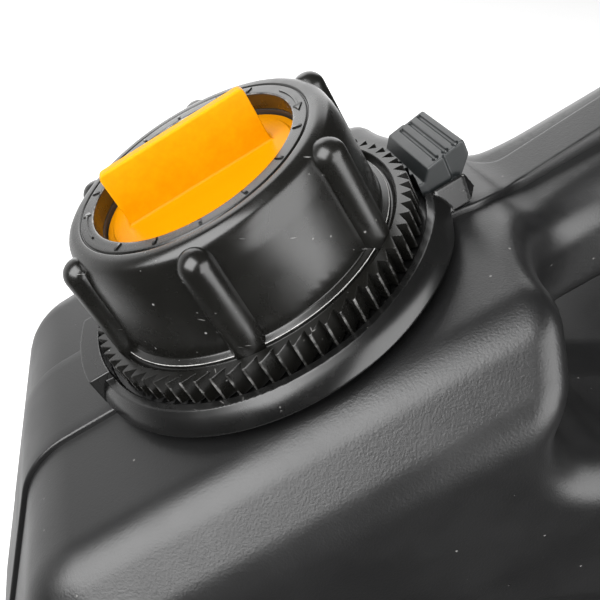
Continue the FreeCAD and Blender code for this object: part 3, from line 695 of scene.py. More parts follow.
    def neck(self) -> Surface:
        """Threaded neck: a ring whose outer wall carries a left-hand ridge that fades out at both ends.

        Returns:
            The closed neck, in its own frame.
        """
        inner, outer, low, top = self.neck_bore, self.neck_radius, self.neck_low, self.neck_top
        outline = Outline([(inner, low, 0.3), (outer, low, 0.3), (outer, top, 0.6), (inner, top, 0.6)])
        thread = Thread(root=outer, crest=28.3, low=9.5, turns=1.75)
        return revolve(outline, 180, 0.5, 0.7, thread.push)

    def build(self, finishes: "Finishes") -> list[bpy.types.Object]:
        """Make the shell, the belt and the neck.

        Args:
            finishes: The materials.

        Returns:
            The three pieces.
        """
        shell = self.skin().to_object("can_shell")
        self.close_bore(shell)
        belt = self.belt().to_object("can_belt", 40.0)
        self.cap_ends(belt)
        neck = self.neck().in_row().to_object("can_neck", 40.0)
        for piece in (shell, belt, neck):
            dress(piece, Body.CAN, finishes.can, "can_body")
        return [shell, belt, neck]


@dataclass(frozen=True)
class Thread:
    """One-start left-hand thread on a wall; crest above root for an outer wall, below it for an inner one."""

    root: float
    crest: float
    low: float
    turns: float
    lead: float = 6.0
    base: float = 4.0
    top: float = 2.0
    fade: float = 0.055

    def push(self, r: Array, z: Array, a: Array) -> Array:
        """Lift points of the threaded wall to the ridge.

        The ridge's middle is at low + lead * n for n turns against the angle. Its side slopes from the base
        width to the top width, and it fades in over the first and last 20 degrees.

        Args:
            r: Radii of the points.
            z: Heights.
            a: Angles in radians.

        Returns:
            The new radii.
        """
        best = np.zeros(np.shape(z))
        for whole in range(-1, math.ceil(self.turns) + 1):
            n = (-a / (2 * math.pi)) % 1.0 + whole
            ends = smooth_step(n / self.fade) * smooth_step((self.turns - n) / self.fade)
            off = np.abs(z - self.low - self.lead * n)
            side = np.clip((self.base / 2 - off) / ((self.base - self.top) / 2), 0.0, 1.0)
            best = np.maximum(best, side * ends)
        on_wall = np.abs(r - self.root) < 1e-6
        return np.where(on_wall, r + (self.crest - self.root) * best, r)


# ------------------------------------------------------------------ the ring cap
@dataclass
class RingCap:
    """Glossy screw ring: drafted wall with six ribs, worn flange, saw teeth, raised marks, thread inside."""

    top: float = 33.5
    hole: float = 23.0
    bore: float = 28.75
    wall_top: float = 30.95
    flange: float = 33.2
    flange_z: float = 9.8
    rubbed: tuple[tuple[float, float], ...] = ((-2.05, 1.0), (-0.2, 0.35), (0.9, 0.6), (2.3, 0.5))
    rubbed_width: float = 0.22
    rib_radius: float = 3.7
    rib_dome: float = 3.3
    rib_centre: float = 30.7
    rib_lean: float = 0.02
    rib_cut: float = -1.4
    rib_high: float = 32.9
    rib_low: float = 8.9
    rib_angle: float = math.radians(17.7)
    ribs: int = 6
    teeth: int = TEETH
    tip: float = 37.7
    root: float = 35.7
    phase: float = math.radians(TOOTH_PHASE)
    mark_middle: float = 24.45
    mark_wear: float = 0.25
    arrows: tuple[float, ...] = (196.0, 16.0)
    tick_rows: tuple[float, ...] = (40.0, 220.0)
    tick_gap: float = 22.0
    ticks: int = 6

    def grips(self) -> list[Surface]:
        """Six ribs: posts with domed tops that lean out towards the foot, cut flat where the wall hides them.

        Returns:
            The closed posts.
        """
        high, low = self.rib_high, self.rib_low
        outline = Outline([(0.0, low, 0.0), (self.rib_radius, low, 0.4),
                           (self.rib_radius - 0.2, high, self.rib_dome), (0.0, high, 0.0)])
        post = revolve(outline, 48, 0.14, 3.0)
        x, y, z = post.points.T
        x = self.rib_centre + self.rib_lean * (high - z) + np.maximum(x, self.rib_cut)
        top_wear = 0.16 * np.clip((z - high + 3.0) / 2.0, 0.0, 1.0)
        wear = top_wear + 0.3 * np.clip(1.0 - (z - low), 0.0, 1.0)
        made = []
        for index in range(self.ribs):
            a = self.rib_angle + 2 * math.pi * index / self.ribs
            turned = np.stack([x * math.cos(a) - y * math.sin(a), x * math.sin(a) + y * math.cos(a), z], 1)
            made.append(Surface(turned, post.quads, wear))
        return made

    def wall(self) -> Surface:
        """The turned ring with flange and inner thread, worn along the flange and the top edge.

        Returns:
            The closed ring with its wear.
        """
        top, bore, flange, seat = self.top, self.bore, self.flange, 29.5
        outline = Outline([
            (bore, 4.45, 0.2), (34.7, 4.45, 0.2), (34.9, 10.05, 0.1), (33.6, 8.9, 0.2), (flange, 8.97, 0.08),
            (flange, self.flange_z, 0.16), (31.85, 10.4, 0.5), (self.wall_top, 28.5, 12.0), (29.9, 32.5, 2.6),
            (28.2, top, 1.5), (26.5, top, 0.3), (26.15, top - 0.55, 0.12), (25.85, top, 0.15),
            (self.hole, top, 0.35), (self.hole, seat, 0.2), (bore, seat, 0.4)])
        thread = Thread(root=bore, crest=27.45, low=12.5, turns=1.25)
        ring = revolve(outline, 360, 0.3, 0.8, thread.push)
        x, y, z = ring.points.T
        r, turn = np.hypot(x, y), np.arctan2(y, x)
        patch = sum(share * np.exp(-((np.cos(turn - at) - 1.0) / self.rubbed_width) ** 2)
                    for at, share in self.rubbed)
        ledge_r, ledge_half, ledge_z = 32.7, 0.6, 10.0
        on_ledge = np.abs(z - ledge_z) < 0.28
        ledge = 0.3 * patch * np.clip(1.0 - np.abs(r - ledge_r) / ledge_half, 0, 1) * on_ledge
        flange = np.maximum(1.0 - np.hypot((r - self.flange) / 0.13, (z - self.flange_z) / 0.16), ledge)
        lip = 1.0 - np.hypot((r - self.hole) / 0.5, (z - self.top) / 0.5)
        ring.wear = np.clip(np.maximum(flange, 0.55 * lip), 0.0, 1.0)
        return ring

    def saw(self) -> Surface:
        """Ring of saw teeth: the radius drops along each tooth and steps back out at the next.

        For each corner of a tooth, share is its place along the pitch and depth how far it lies in from the
        tip. Points close to both sides of a corner keep the faces between them flat. From the foot to the
        top, inset is how far each level lies in from that outline, and level is its height.

        Returns:
            The closed toothed ring, worn along its tips.
        """
        share = np.array([0.0, 0.0, 0.0, 0.0, 0.025, 0.13, 0.25, 0.97])
        depth = np.array([1.0, 0.96, 0.14, 0.1, 0.0, 0.0, 0.143, 1.0])
        pitch, low, top = 2 * math.pi / self.teeth, 3.9, 10.1
        angle = (self.phase + pitch * (np.arange(self.teeth)[:, None] + share)).ravel()
        outer = np.tile(self.tip - (self.tip - self.root) * depth, self.teeth)
        inset = np.array([np.nan, 0.15, 0.05, 0.0, 0.0, 0.0, 0.0, 0.05, 0.16, 0.22, np.nan])
        level = np.array([low, low, 3.95, 4.05, 4.15, 9.8, 9.9, 10.05, top, top, top])
        inner = np.where(level > 10.0, 34.88, 34.2)
        r = np.where(np.isnan(inset), inner, outer[:, None] - np.nan_to_num(inset))
        z = np.broadcast_to(level, r.shape)
        points = polar(r, angle[:, None], z).reshape(-1, 3)
        edge = np.clip((r - self.tip + 0.34) / 0.2, 0, 1) * (z > 4.1)
        rim = (np.abs(z - 10.02) < 0.06) * (np.nan_to_num(inset) > 0.0) * (inset < 0.2)
        wear = np.maximum(0.32 * edge, 0.22 * rim).ravel()
        return Surface(points, grid_quads(len(angle), len(level), True, True), wear)

    def mark(self, start: float, sweep: float, half: Array) -> Surface:
        """Low raised mark on the flat: a rounded ridge along an arc whose half width is given along it.

        Args:
            start: First angle in degrees.
            sweep: Angle covered.
            half: Half widths at even steps.

        Returns:
            The closed mark.
        """
        a = np.radians(start + sweep * np.linspace(0.0, 1.0, len(half)))
        across = np.array([-1.0, -1.0, -0.75, 0.75, 1.0, 1.0])
        level = np.array([-0.3, 0.12, 0.26, 0.26, 0.12, -0.3]) + self.top
        r = self.mark_middle + half[:, None] * across
        points = polar(r, a[:, None], np.broadcast_to(level, r.shape))
        ends = [np.broadcast_to(points[i].mean(0), points[i].shape) for i in (0, -1)]
        points = np.concatenate([ends[0][None], points, ends[1][None]])
        quads = grid_quads(len(points), len(across), False, True)
        return Surface(points.reshape(-1, 3), quads, np.full(points.size // 3, self.mark_wear))

    def marks(self) -> list[Surface]:
        """Plain ticks and two curved arrows, in place of any wording.

        Returns:
            The closed marks.
        """
        made = []
        bar, head = np.full(14, 0.26), np.linspace(1.0, 0.05, 5)
        for start in self.arrows:
            made.append(self.mark(start, -26.0, bar))
            made.append(self.mark(start - 25.0, -5.5, head))
        tick = np.full(3, 0.95)
        for first in self.tick_rows:
            made += [self.mark(first + self.tick_gap * step, 1.3, tick) for step in range(self.ticks)]
        return made

    def build(self, finishes: "Finishes") -> list[bpy.types.Object]:
        """Make the ring as one piece.

        Args:
            finishes: The materials.

        Returns:
            The one piece, in a list.
        """
        whole = self.wall().joined(self.saw(), *self.grips(), *self.marks())
        ring = whole.in_row().to_object("ring_cap_shell", 38.0)
        return [dress(ring, Body.RING, finishes.cap, "ring_cap")]


# ------------------------------------------------------------------ stopper and seals
@dataclass
class Stopper:
    """Yellow disc with a rectangular wing and a hollow plug with an O-ring groove."""

    radius: float = 22.7
    disc_top: float = 28.9
    disc_low: float = 26.4
    rim_top: float = 28.4
    plug: float = 18.9
    hollow: float = 15.5
    plug_depth: float = 10.4
    groove: float = 16.65
    groove_low: float = 7.3
    groove_high: float = 4.7
    wing_half: float = 16.7
    wing_high: float = 41.5
    wing_thick: float = 1.6
    wing_corner: float = 1.2
    wing_edge: float = 0.4
    end_draft: float = 0.006
    side_draft: float = 0.018
    fillet: float = 0.7

    def disc(self) -> Surface:
        """Turned disc and plug.

        Returns:
            The closed disc, worn along its rim.
        """
        low, plug, groove, rim = self.disc_low, self.plug, self.groove, self.rim_top
        tip, under, over = low - self.plug_depth, low - self.groove_low, low - self.groove_high
        outline = Outline([
            (0.0, low, 0.0), (self.hollow, low, 0.5), (self.hollow, tip, 0.4), (plug, tip, 0.7),
            (plug, under, 0.1), (groove, under, 0.1), (groove, over, 0.1), (plug, over, 0.1),
            (plug, low, 0.2), (self.radius, low, 0.4), (self.radius, rim, 0.35), (21.2, rim, 0.25),
            (20.9, self.disc_top, 0.3), (0.0, self.disc_top, 0.0)])
        ring = revolve(outline, 144, 0.4, 4.0)
        r = np.hypot(ring.points[:, 0], ring.points[:, 1])
        ring.wear = np.clip(1.0 - np.abs(r - self.radius) / 0.35, 0, 1) * (ring.points[:, 2] > 27.5)
        return ring

    def wing(self) -> Surface:
        """Wing as stacked rounded rectangles: a fillet spreads the foot, quarter circles close the top.

        At a height h above the disc the half length is L + f - e - d h, where f = p - sqrt(p^2 - (p - h)^2)
        is the fillet near the foot, e the same kind of circle near the top, and d the draft. The half
        thickness does the same.

        Returns:
            The closed wing.
        """
        high = self.wing_high - self.disc_top
        corner, edge, p = self.wing_corner, self.wing_edge, self.fillet
        h = np.concatenate([
            p * (1 - np.cos(np.linspace(0, math.pi / 2, 7))), np.linspace(p, high - corner, 6)[1:],
            high - corner + corner * np.sin(np.linspace(0, math.pi / 2, 12))[1:]])
        foot = p - np.sqrt(np.maximum(p ** 2 - np.maximum(p - h, 0.0) ** 2, 0.0))
        rise = np.maximum(h - (high - corner), 0.0)
        end = corner - np.sqrt(np.maximum(corner ** 2 - rise ** 2, 0.0))
        cap = np.maximum(h - (high - edge), 0.0)
        thin = edge - np.sqrt(np.maximum(edge ** 2 - cap ** 2, 0.0))
        long = self.wing_half + foot - end - self.end_draft * h
        wide = self.wing_thick + foot - thin - self.side_draft * h
        steps = 6
        turn = np.concatenate([np.linspace(0, math.pi / 2, steps) + k * math.pi / 2 for k in range(4)])
        unit = np.stack([np.cos(turn), np.sin(turn)], 1)
        sign = np.sign(unit.reshape(4, steps, 2).mean(1)).repeat(steps, 0)
        r = np.minimum(0.35, wide * 0.45)[:, None]
        x = sign[:, 0] * (long[:, None] - r) + unit[:, 0] * r
        y = sign[:, 1] * (wide[:, None] - r) + unit[:, 1] * r
        z = np.broadcast_to((self.disc_top + h)[:, None], x.shape)
        points = np.stack([x, y, z], -1)
        floor = points[:1] - np.array([0.0, 0.0, 0.6])
        shut = [points[-1:] * np.array([0.97, s, 1.0]) for s in (0.5, 0.0)]
        sealed = floor * np.array([1.0, 0.0, 1.0])
        points = np.concatenate([sealed, floor, points, *shut])
        # The wing's rounded top edge is made paler: a painted highlight, carried in the wear values.
        wear, painted_top_highlight, side = np.zeros(points.shape[:2]), 0.8, 0.45
        wear[-6:-1] = painted_top_highlight
        wear[8:-2] = np.maximum(wear[8:-2], side)
        quads = grid_quads(len(points), points.shape[1], False, True)
        return Surface(points.reshape(-1, 3), quads, wear.ravel())

    def build(self, finishes: "Finishes") -> list[bpy.types.Object]:
        """Make the stopper and its O-ring.

        Args:
            finishes: The materials.

        Returns:
            The two pieces.
        """
        stopper = self.disc().joined(self.wing()).in_row().to_object("stopper_wing", 36.0)
        dress(stopper, Body.STOPPER, finishes.stopper, "stopper")
        ring = revolve(washer(16.75, 19.15, 19.2, 21.6, 1.199), 96, 0.4)
        seal = ring.in_row().to_object("stopper_seal_ring", 60.0)
        return [stopper, dress(seal, Body.SEAL, finishes.rubber, "stopper_oring")]


@dataclass
class PouringSpout:
    """Spout stored upside down: flange and ledge, a beaded tube that narrows to the tip, and the gasket."""

    beads: int = 5
    pitch: float = 9.0
    bead_half: float = 1.9
    bead_proud: float = 1.4
    wide: float = 21.2
    narrow: float = 10.5
    start: float = -2.0
    tip: float = -118.0

    def tube(self) -> Surface:
        """Turned spout with rounded beads.

        Returns:
            The closed spout, in the neck's frame.
        """
        wide, narrow, start, tip, half = self.wide, self.narrow, self.start, self.tip, self.bead_half
        slope = (wide - narrow) / (start - tip)
        outer = []
        for bead in range(1, self.beads + 1):
            z = start - self.pitch * bead
            r = wide - slope * self.pitch * bead
            outer += [(r + slope * half, z + half, 0.5), (r + self.bead_proud, z, 0.9),
                      (r - slope * half, z - half, 0.5)]
        outline = Outline([
            (23.0, 29.4, 0.25), (27.6, 29.4, 0.4), (27.6, 26.9, 0.4), (23.9, 26.9, 0.2), (23.9, 23.9, 0.8),
            (wide, 21.2, 0.8), (wide, start, 3.0), *outer, (narrow, tip, 0.7), (8.5, tip, 0.7),
            (19.2, start, 3.0), (19.2, 26.4, 0.3), (23.0, 26.4, 0.2)])
        return revolve(outline, 120, 0.35, 12.0)

    def build(self, finishes: "Finishes") -> list[bpy.types.Object]:
        """Make the spout and the neck's gasket.

        Args:
            finishes: The materials.

        Returns:
            The two pieces.
        """
        spout = self.tube().in_row().to_object("pouring_spout_tube", 40.0)
        dress(spout, Body.SPOUT, finishes.spout, "pouring_spout")
        ring = revolve(washer(24.7, 27.3, 24.92, 26.88, 0.3), 120)
        gasket = ring.in_row().to_object("neck_gasket_ring", 50.0)
        return [spout, dress(gasket, Body.SPOUT, finishes.rubber, "neck_gasket")]


# ------------------------------------------------------------------ collar and lever
@dataclass
class LockCollar:
    """Rounded collar on the pad with a channel for the teeth, a lug block and two ears for the lever."""

    inner: float = 38.9
    bore: float = 29.0
    foot: float = 0.35
    near_start: float = 34.5
    near_run: float = 6.5
    near_slim: float = 0.9
    near_low: float = 0.42
    lug_radius: float = 44.0
    lug_half: float = 12.0
    lug_top: float = 7.7
    ear_half: float = 14.6
    ear_slope: float = 0.85
    ear_top: float = 4.5
    ear_back: float = 39.4
    ear_front: float = 47.6
    ear_lean: float = 0.25
    ear_sweep: float = 0.7
    pin_radius: float = 1.05
    pin_half: float = 10.95
    window: float = 10.35
    slot_x: float = 36.25
    section: Outline = field(init=False)

    def __post_init__(self) -> None:
        """Lay out the collar's (r, z) section."""
        self.section = Outline([
            (self.bore, 0.3, 0.3), (42.1, 0.3, 0.3), (43.75, 1.4, 0.5), (42.95, 3.7, 9.0), (40.95, 5.95, 0.3),
            (39.1, 5.7, 0.3), (self.inner, 5.3, 0.2), (self.inner, 3.2, 0.25), (self.bore, 3.2, 0.4)])

    def solid(self, x: Array, y: Array, z: Array) -> Array:
        """Signed distance to the collar: section round z, filleted to the lug and ears, window cut out.

        Beside the lever the section is read further out and higher up, which makes the collar slimmer and
        lower there. The ears slope outwards to their foot, and the pin's hole ends inside them.

        Args:
            x: Neck frame x.
            y: Neck frame y.
            z: Neck frame z.

        Returns:
            Distances, negative inside.
        """
        r, side, foot, slant = np.hypot(x, y), np.abs(y), self.foot, self.ear_slope
        near = smooth_step((x - self.near_start) / self.near_run)
        ring = self.section.distance(r + self.near_slim * near * (r > 40.0), z * (1.0 + self.near_low * near))
        lug = round_max(np.maximum(self.inner - r, r - self.lug_radius), side - self.lug_half, 0.4)
        lug = round_max(round_max(lug, x, 0.5), np.maximum(z - self.lug_top, foot - z), 0.35)
        sloping = (side - self.ear_half + slant * (z - foot)) / math.hypot(1.0, slant)
        ear = round_max(round_max(self.window - side, sloping, 0.35), z - self.ear_top, 0.3)
        lean = (z - 0.3) * self.ear_lean + x - self.ear_front + self.ear_sweep * (side - 10.6)
        lean /= math.hypot(1.0, 0.74)
        ear = np.maximum(round_max(round_max(ear, lean, 0.35), self.ear_back - x, 0.4), foot - z)
        body = round_min(round_min(ring, lug, 0.2), ear, 0.5)
        slot = round_max(side - self.window, self.slot_x - x, 0.3)
        pin = np.hypot(x - PIVOT_X, z - PIVOT_Z) - self.pin_radius
        pin = np.maximum(pin, side - self.pin_half)
        return round_max(np.maximum(body, -slot), -pin, 0.2)

    def build(self, finishes: "Finishes") -> list[bpy.types.Object]:
        """Make the collar.

        Args:
            finishes: The materials.

        Returns:
            The one piece, in a list.
        """
        axes = [spaced((-44.8, 48.9, 0.36)), spaced((-44.8, 44.8, 0.36)), spaced((-0.6, 8.4, 0.3))]
        piece = isosurface(self.solid, axes, 1).in_row().to_object("lock_collar_ring")
        return [dress(piece, Body.CAN, finishes.collar, "lock_collar")]


@dataclass
class ReleaseLever:
    """Thumb lever: grooved plate on a curved body beside the teeth, with two pivot stubs."""

    half: float = 10.0
    set_in: float = 0.5
    mouth: float = 38.7
    teeth_deep: float = 0.65
    plate_low: tuple[float, float] = (40.4, 9.4)
    plate_high: tuple[float, float] = (49.3, 10.7)
    grooves: int = 3
    groove_start: float = 2.6
    groove_gap: float = 2.35
    groove_radius: float = 0.4
    groove_half: float = 8.6
    bead_radius: float = 0.68
    stub_radius: float = 1.0
    stub_half: float = 10.85
    side: Outline = field(init=False)

    def __post_init__(self) -> None:
        """Lay out the lever's side view."""
        self.side = Outline([
            (37.0, 3.4, 0.2), (39.7, 1.0, 0.5), (PIVOT_X, 1.0, 1.2), (49.3, 7.1, 0.5),
            (*self.plate_high, 0.45), (*self.plate_low, 0.45), (38.7, 6.9, 0.4), (37.0, 6.9, 0.3)])

    def solid(self, x: Array, y: Array, z: Array) -> Array:
        """Signed distance to the lever: side view across y, set in at the outer half, with grooves and teeth.

        Each groove runs across the plate and ends in a round dimple at one side. The teeth that face the ring
        follow its own.

        Args:
            x: Neck frame x.
            y: Neck frame y.
            z: Neck frame z.

        Returns:
            Distances, negative inside.
        """
        half = self.half - self.set_in * smooth_step((x - 44.0) / 0.5)
        body = round_max(self.side.distance(x, z), np.abs(y) - half, 0.4)
        r = np.hypot(x, y)
        angle = np.degrees(np.arctan2(y, x))
        pitch = 360.0 / TEETH
        along = (angle - TOOTH_PHASE) / pitch % 1.0
        saw = np.clip(1.0 - along / 0.8, 0.0, 1.0) * (np.abs(angle) < 1.5 * pitch)
        body = np.maximum(body, self.mouth - self.teeth_deep * saw - r)
        low_x, low_z = self.plate_low
        slope = math.atan2(self.plate_high[1] - low_z, self.plate_high[0] - low_x)
        for index in range(self.grooves):
            run = self.groove_start + self.groove_gap * index
            reach = np.hypot(x - (low_x + run * math.cos(slope)), z - (low_z + run * math.sin(slope)))
            groove = round_max(reach - self.groove_radius, np.abs(y) - self.groove_half, 0.1)
            bead = np.sqrt(reach ** 2 + (y + self.groove_half) ** 2) - self.bead_radius
            body = round_max(body, -np.minimum(groove, bead), 0.12)
        stub = np.hypot(x - PIVOT_X, z - PIVOT_Z) - self.stub_radius
        return round_min(body, round_max(stub, np.abs(y) - self.stub_half, 0.2), 0.2)

    def build(self, finishes: "Finishes") -> list[bpy.types.Object]:
        """Make the lever.

        Args:
            finishes: The materials.

        Returns:
            The one piece, in a list.
        """
        axes = [spaced((36.2, 50.2, 0.27)), spaced((-13.2, 13.2, 0.27)), spaced((0.2, 11.6, 0.27))]
        piece = isosurface(self.solid, axes, 1).in_row().to_object("release_lever_plate")
        return [dress(piece, Body.LEVER, finishes.lever, "release_lever")]


# ------------------------------------------------------------------ finishes
Value = float | tuple[float, ...] | bpy.types.NodeSocket


class Graph:
    """A node tree that is being wired."""

    def __init__(self, tree: bpy.types.NodeTree) -> None:
        """Start on an empty tree."""
        self.tree = tree
        tree.nodes.clear()

    def add(self, kind: str, inputs: dict[str | int, Value] | None = None,
            **settings: object) -> bpy.types.Node:
        """Add a node.

        Args:
            kind: Its type, without the leading ShaderNode.
            inputs: A number, colour or output socket for each named or numbered input.
            settings: Properties of the node.

        Returns:
            The node.
        """
        node = self.tree.nodes.new(kind if kind.startswith("Node") else "ShaderNode" + kind)
        for name, value in settings.items():
            setattr(node, name, value)
        for key, value in (inputs or {}).items():
            if isinstance(value, bpy.types.NodeSocket):
                self.tree.links.new(value, node.inputs[key])
            else:
                node.inputs[key].default_value = value
        return node

    def math(self, operation: str, *values: Value) -> bpy.types.NodeSocket:
        """Result of a maths node."""
        return self.add("Math", dict(enumerate(values)), operation=operation).outputs[0]

    def ramp(self, value: Value, low: float, high: float, to_low: float = 0.0,
             to_high: float = 1.0) -> bpy.types.NodeSocket:
        """Value carried smoothly from low..high to to_low..to_high."""
        inputs = {"Value": value, "From Min": low, "From Max": high, "To Min": to_low, "To Max": to_high}
        return self.add("MapRange", inputs, interpolation_type="SMOOTHSTEP").outputs[0]

    def mix(self, share: Value, first: Value, second: Value) -> bpy.types.NodeSocket:
        """Mix of two colours."""
        return self.add("Mix", {0: share, 6: first, 7: second}, data_type="RGBA").outputs[2]

    def noise(self, place: Value, scale: Value, detail: float = 2.0,
              rough: float = 0.5) -> bpy.types.NodeSocket:
        """Height of a noise texture."""
        inputs = {"Vector": place, "Scale": scale, "Detail": detail, "Roughness": rough}
        return self.add("TexNoise", inputs).outputs["Fac"]


def new_group(name: str, inputs: dict[str, float],
              outputs: list[str]) -> tuple[Graph, bpy.types.Node, bpy.types.Node]:
    """Start a node group with numbers in and numbers out.

    Args:
        name: Name of the group.
        inputs: Default of each input.
        outputs: Names of the outputs.

    Returns:
        The group's graph, its input node and its output node.
    """
    tree = bpy.data.node_groups.new(name, "ShaderNodeTree")
    for key, value in inputs.items():
        tree.interface.new_socket(key, in_out="INPUT", socket_type="NodeSocketFloat").default_value = value
    for key in outputs:
        tree.interface.new_socket(key, in_out="OUTPUT", socket_type="NodeSocketFloat")
    graph = Graph(tree)
    return graph, graph.add("NodeGroupInput"), graph.add("NodeGroupOutput")


class Effects:
    """Node groups that several plastics share."""

    def __init__(self) -> None:
        """Build the groups."""
        self.grain = self.build_grain()
        self.specks = self.build_specks()
        self.scuffs = self.build_scuffs()
        self.edges = self.build_edges()

    @staticmethod
    def build_grain() -> bpy.types.NodeTree:
        """Orange peel of a moulded skin: fine bumps with a little coarser swell, and slow blotches.

        Returns:
            The group, which gives Height and Blotch.
        """
        graph, given, result = new_group("moulded_grain", {"Scale": 1500.0}, ["Height", "Blotch"])
        place = graph.add("TexCoord").outputs["Object"]
        fine = graph.noise(place, given.outputs["Scale"], 2.0, 0.55)
        coarse = graph.noise(place, graph.math("MULTIPLY", given.outputs["Scale"], 0.37), 1.0)
        height = graph.math("MULTIPLY_ADD", coarse, 0.35, fine)
        blotch = graph.noise(place, 55.0, 4.0, 0.6)
        graph.tree.links.new(height, result.inputs["Height"])
        graph.tree.links.new(graph.ramp(blotch, 0.3, 0.7), result.inputs["Blotch"])
        return graph.tree

    @staticmethod
    def build_specks() -> bpy.types.NodeTree:
        """Pale dust grains and small pits, each at random places of a cell pattern.

        Returns:
            The group, which gives Dust and Pit.
        """
        graph, given, result = new_group("dust_specks", {"Scale": 300.0, "Amount": 0.2}, ["Dust", "Pit"])
        place = graph.add("TexCoord").outputs["Object"]
        made = []
        for factor, size in ((1.0, 0.16), (0.8, 0.12)):
            scale = graph.math("MULTIPLY", given.outputs["Scale"], factor)
            cell = graph.add("TexVoronoi", {"Vector": place, "Scale": scale, "Randomness": 1.0}, feature="F1")
            pick = graph.add("SeparateColor", {0: cell.outputs["Color"]}).outputs["Red"]
            chosen = graph.math("LESS_THAN", pick, given.outputs["Amount"])
            near = graph.ramp(cell.outputs["Distance"], size, size * 0.45)
            made.append(graph.math("MULTIPLY", near, chosen))
        graph.tree.links.new(made[0], result.inputs["Dust"])
        graph.tree.links.new(made[1], result.inputs["Pit"])
        return graph.tree

    @staticmethod
    def build_scuffs() -> bpy.types.NodeTree:
        """Fine straight scratches, as needle-shaped cells in three directions, and rubbed dull patches.

        Returns:
            The group, which gives Scratch and Rub.
        """
        graph, given, result = new_group("fine_scuffs", {"Scale": 60.0}, ["Scratch", "Rub"])
        place = graph.add("TexCoord").outputs["Object"]
        lines = []
        for turn, tilt, share in ((0.4, 0.9, 0.10), (1.5, -0.7, 0.07), (2.6, 0.3, 0.08)):
            inputs = {"Vector": place, "Rotation": (tilt, turn, turn * 0.6), "Scale": (1.0, 9.0, 9.0)}
            turned = graph.add("Mapping", inputs)
            inputs = {"Vector": turned.outputs[0], "Scale": given.outputs["Scale"], "Randomness": 1.0}
            cell = graph.add("TexVoronoi", inputs, feature="F1")
            pick = graph.add("SeparateColor", {0: cell.outputs["Color"]}).outputs["Red"]
            chosen = graph.math("LESS_THAN", pick, share)
            ends = {0: turned.outputs[0], 1: cell.outputs["Position"]}
            apart = graph.add("VectorMath", ends, operation="SUBTRACT")
            apart = graph.add("VectorMath", {0: apart.outputs[0], 1: (0.08, 1.0, 1.0)}, operation="MULTIPLY")
            off = graph.add("VectorMath", {0: apart.outputs[0]}, operation="LENGTH").outputs["Value"]
            line = graph.ramp(graph.math("MULTIPLY", off, given.outputs["Scale"]), 0.055, 0.018)
            lines.append(graph.math("MULTIPLY", line, chosen))
        scratch = graph.math("MAXIMUM", graph.math("MAXIMUM", lines[0], lines[1]), lines[2])
        rub = graph.ramp(graph.noise(place, 95.0, 5.0, 0.65), 0.45, 0.72)
        graph.tree.links.new(scratch, result.inputs["Scratch"])
        graph.tree.links.new(rub, result.inputs["Rub"])
        return graph.tree

    @staticmethod
    def build_edges() -> bpy.types.NodeTree:
        """Worn edges, and the painted highlight on the stopper wing's top edge: the mesh's wear values broken
        up by noise.

        Returns:
            The group, which gives Mask.
        """
        graph, given, result = new_group("worn_edges_and_painted_highlight", {"Break": 0.5}, ["Mask"])
        wear = graph.add("Attribute", attribute_name="wear").outputs["Fac"]
        place = graph.add("TexCoord").outputs["Object"]
        rough = graph.math("SUBTRACT", graph.noise(place, 420.0, 4.0, 0.7), 0.5)
        ragged = graph.math("MULTIPLY_ADD", rough, given.outputs["Break"], wear)
        mask = graph.math("MULTIPLY", graph.ramp(ragged, 0.25, 0.7), graph.math("GREATER_THAN", wear, 0.02))
        graph.tree.links.new(mask, result.inputs["Mask"])
        return graph.tree


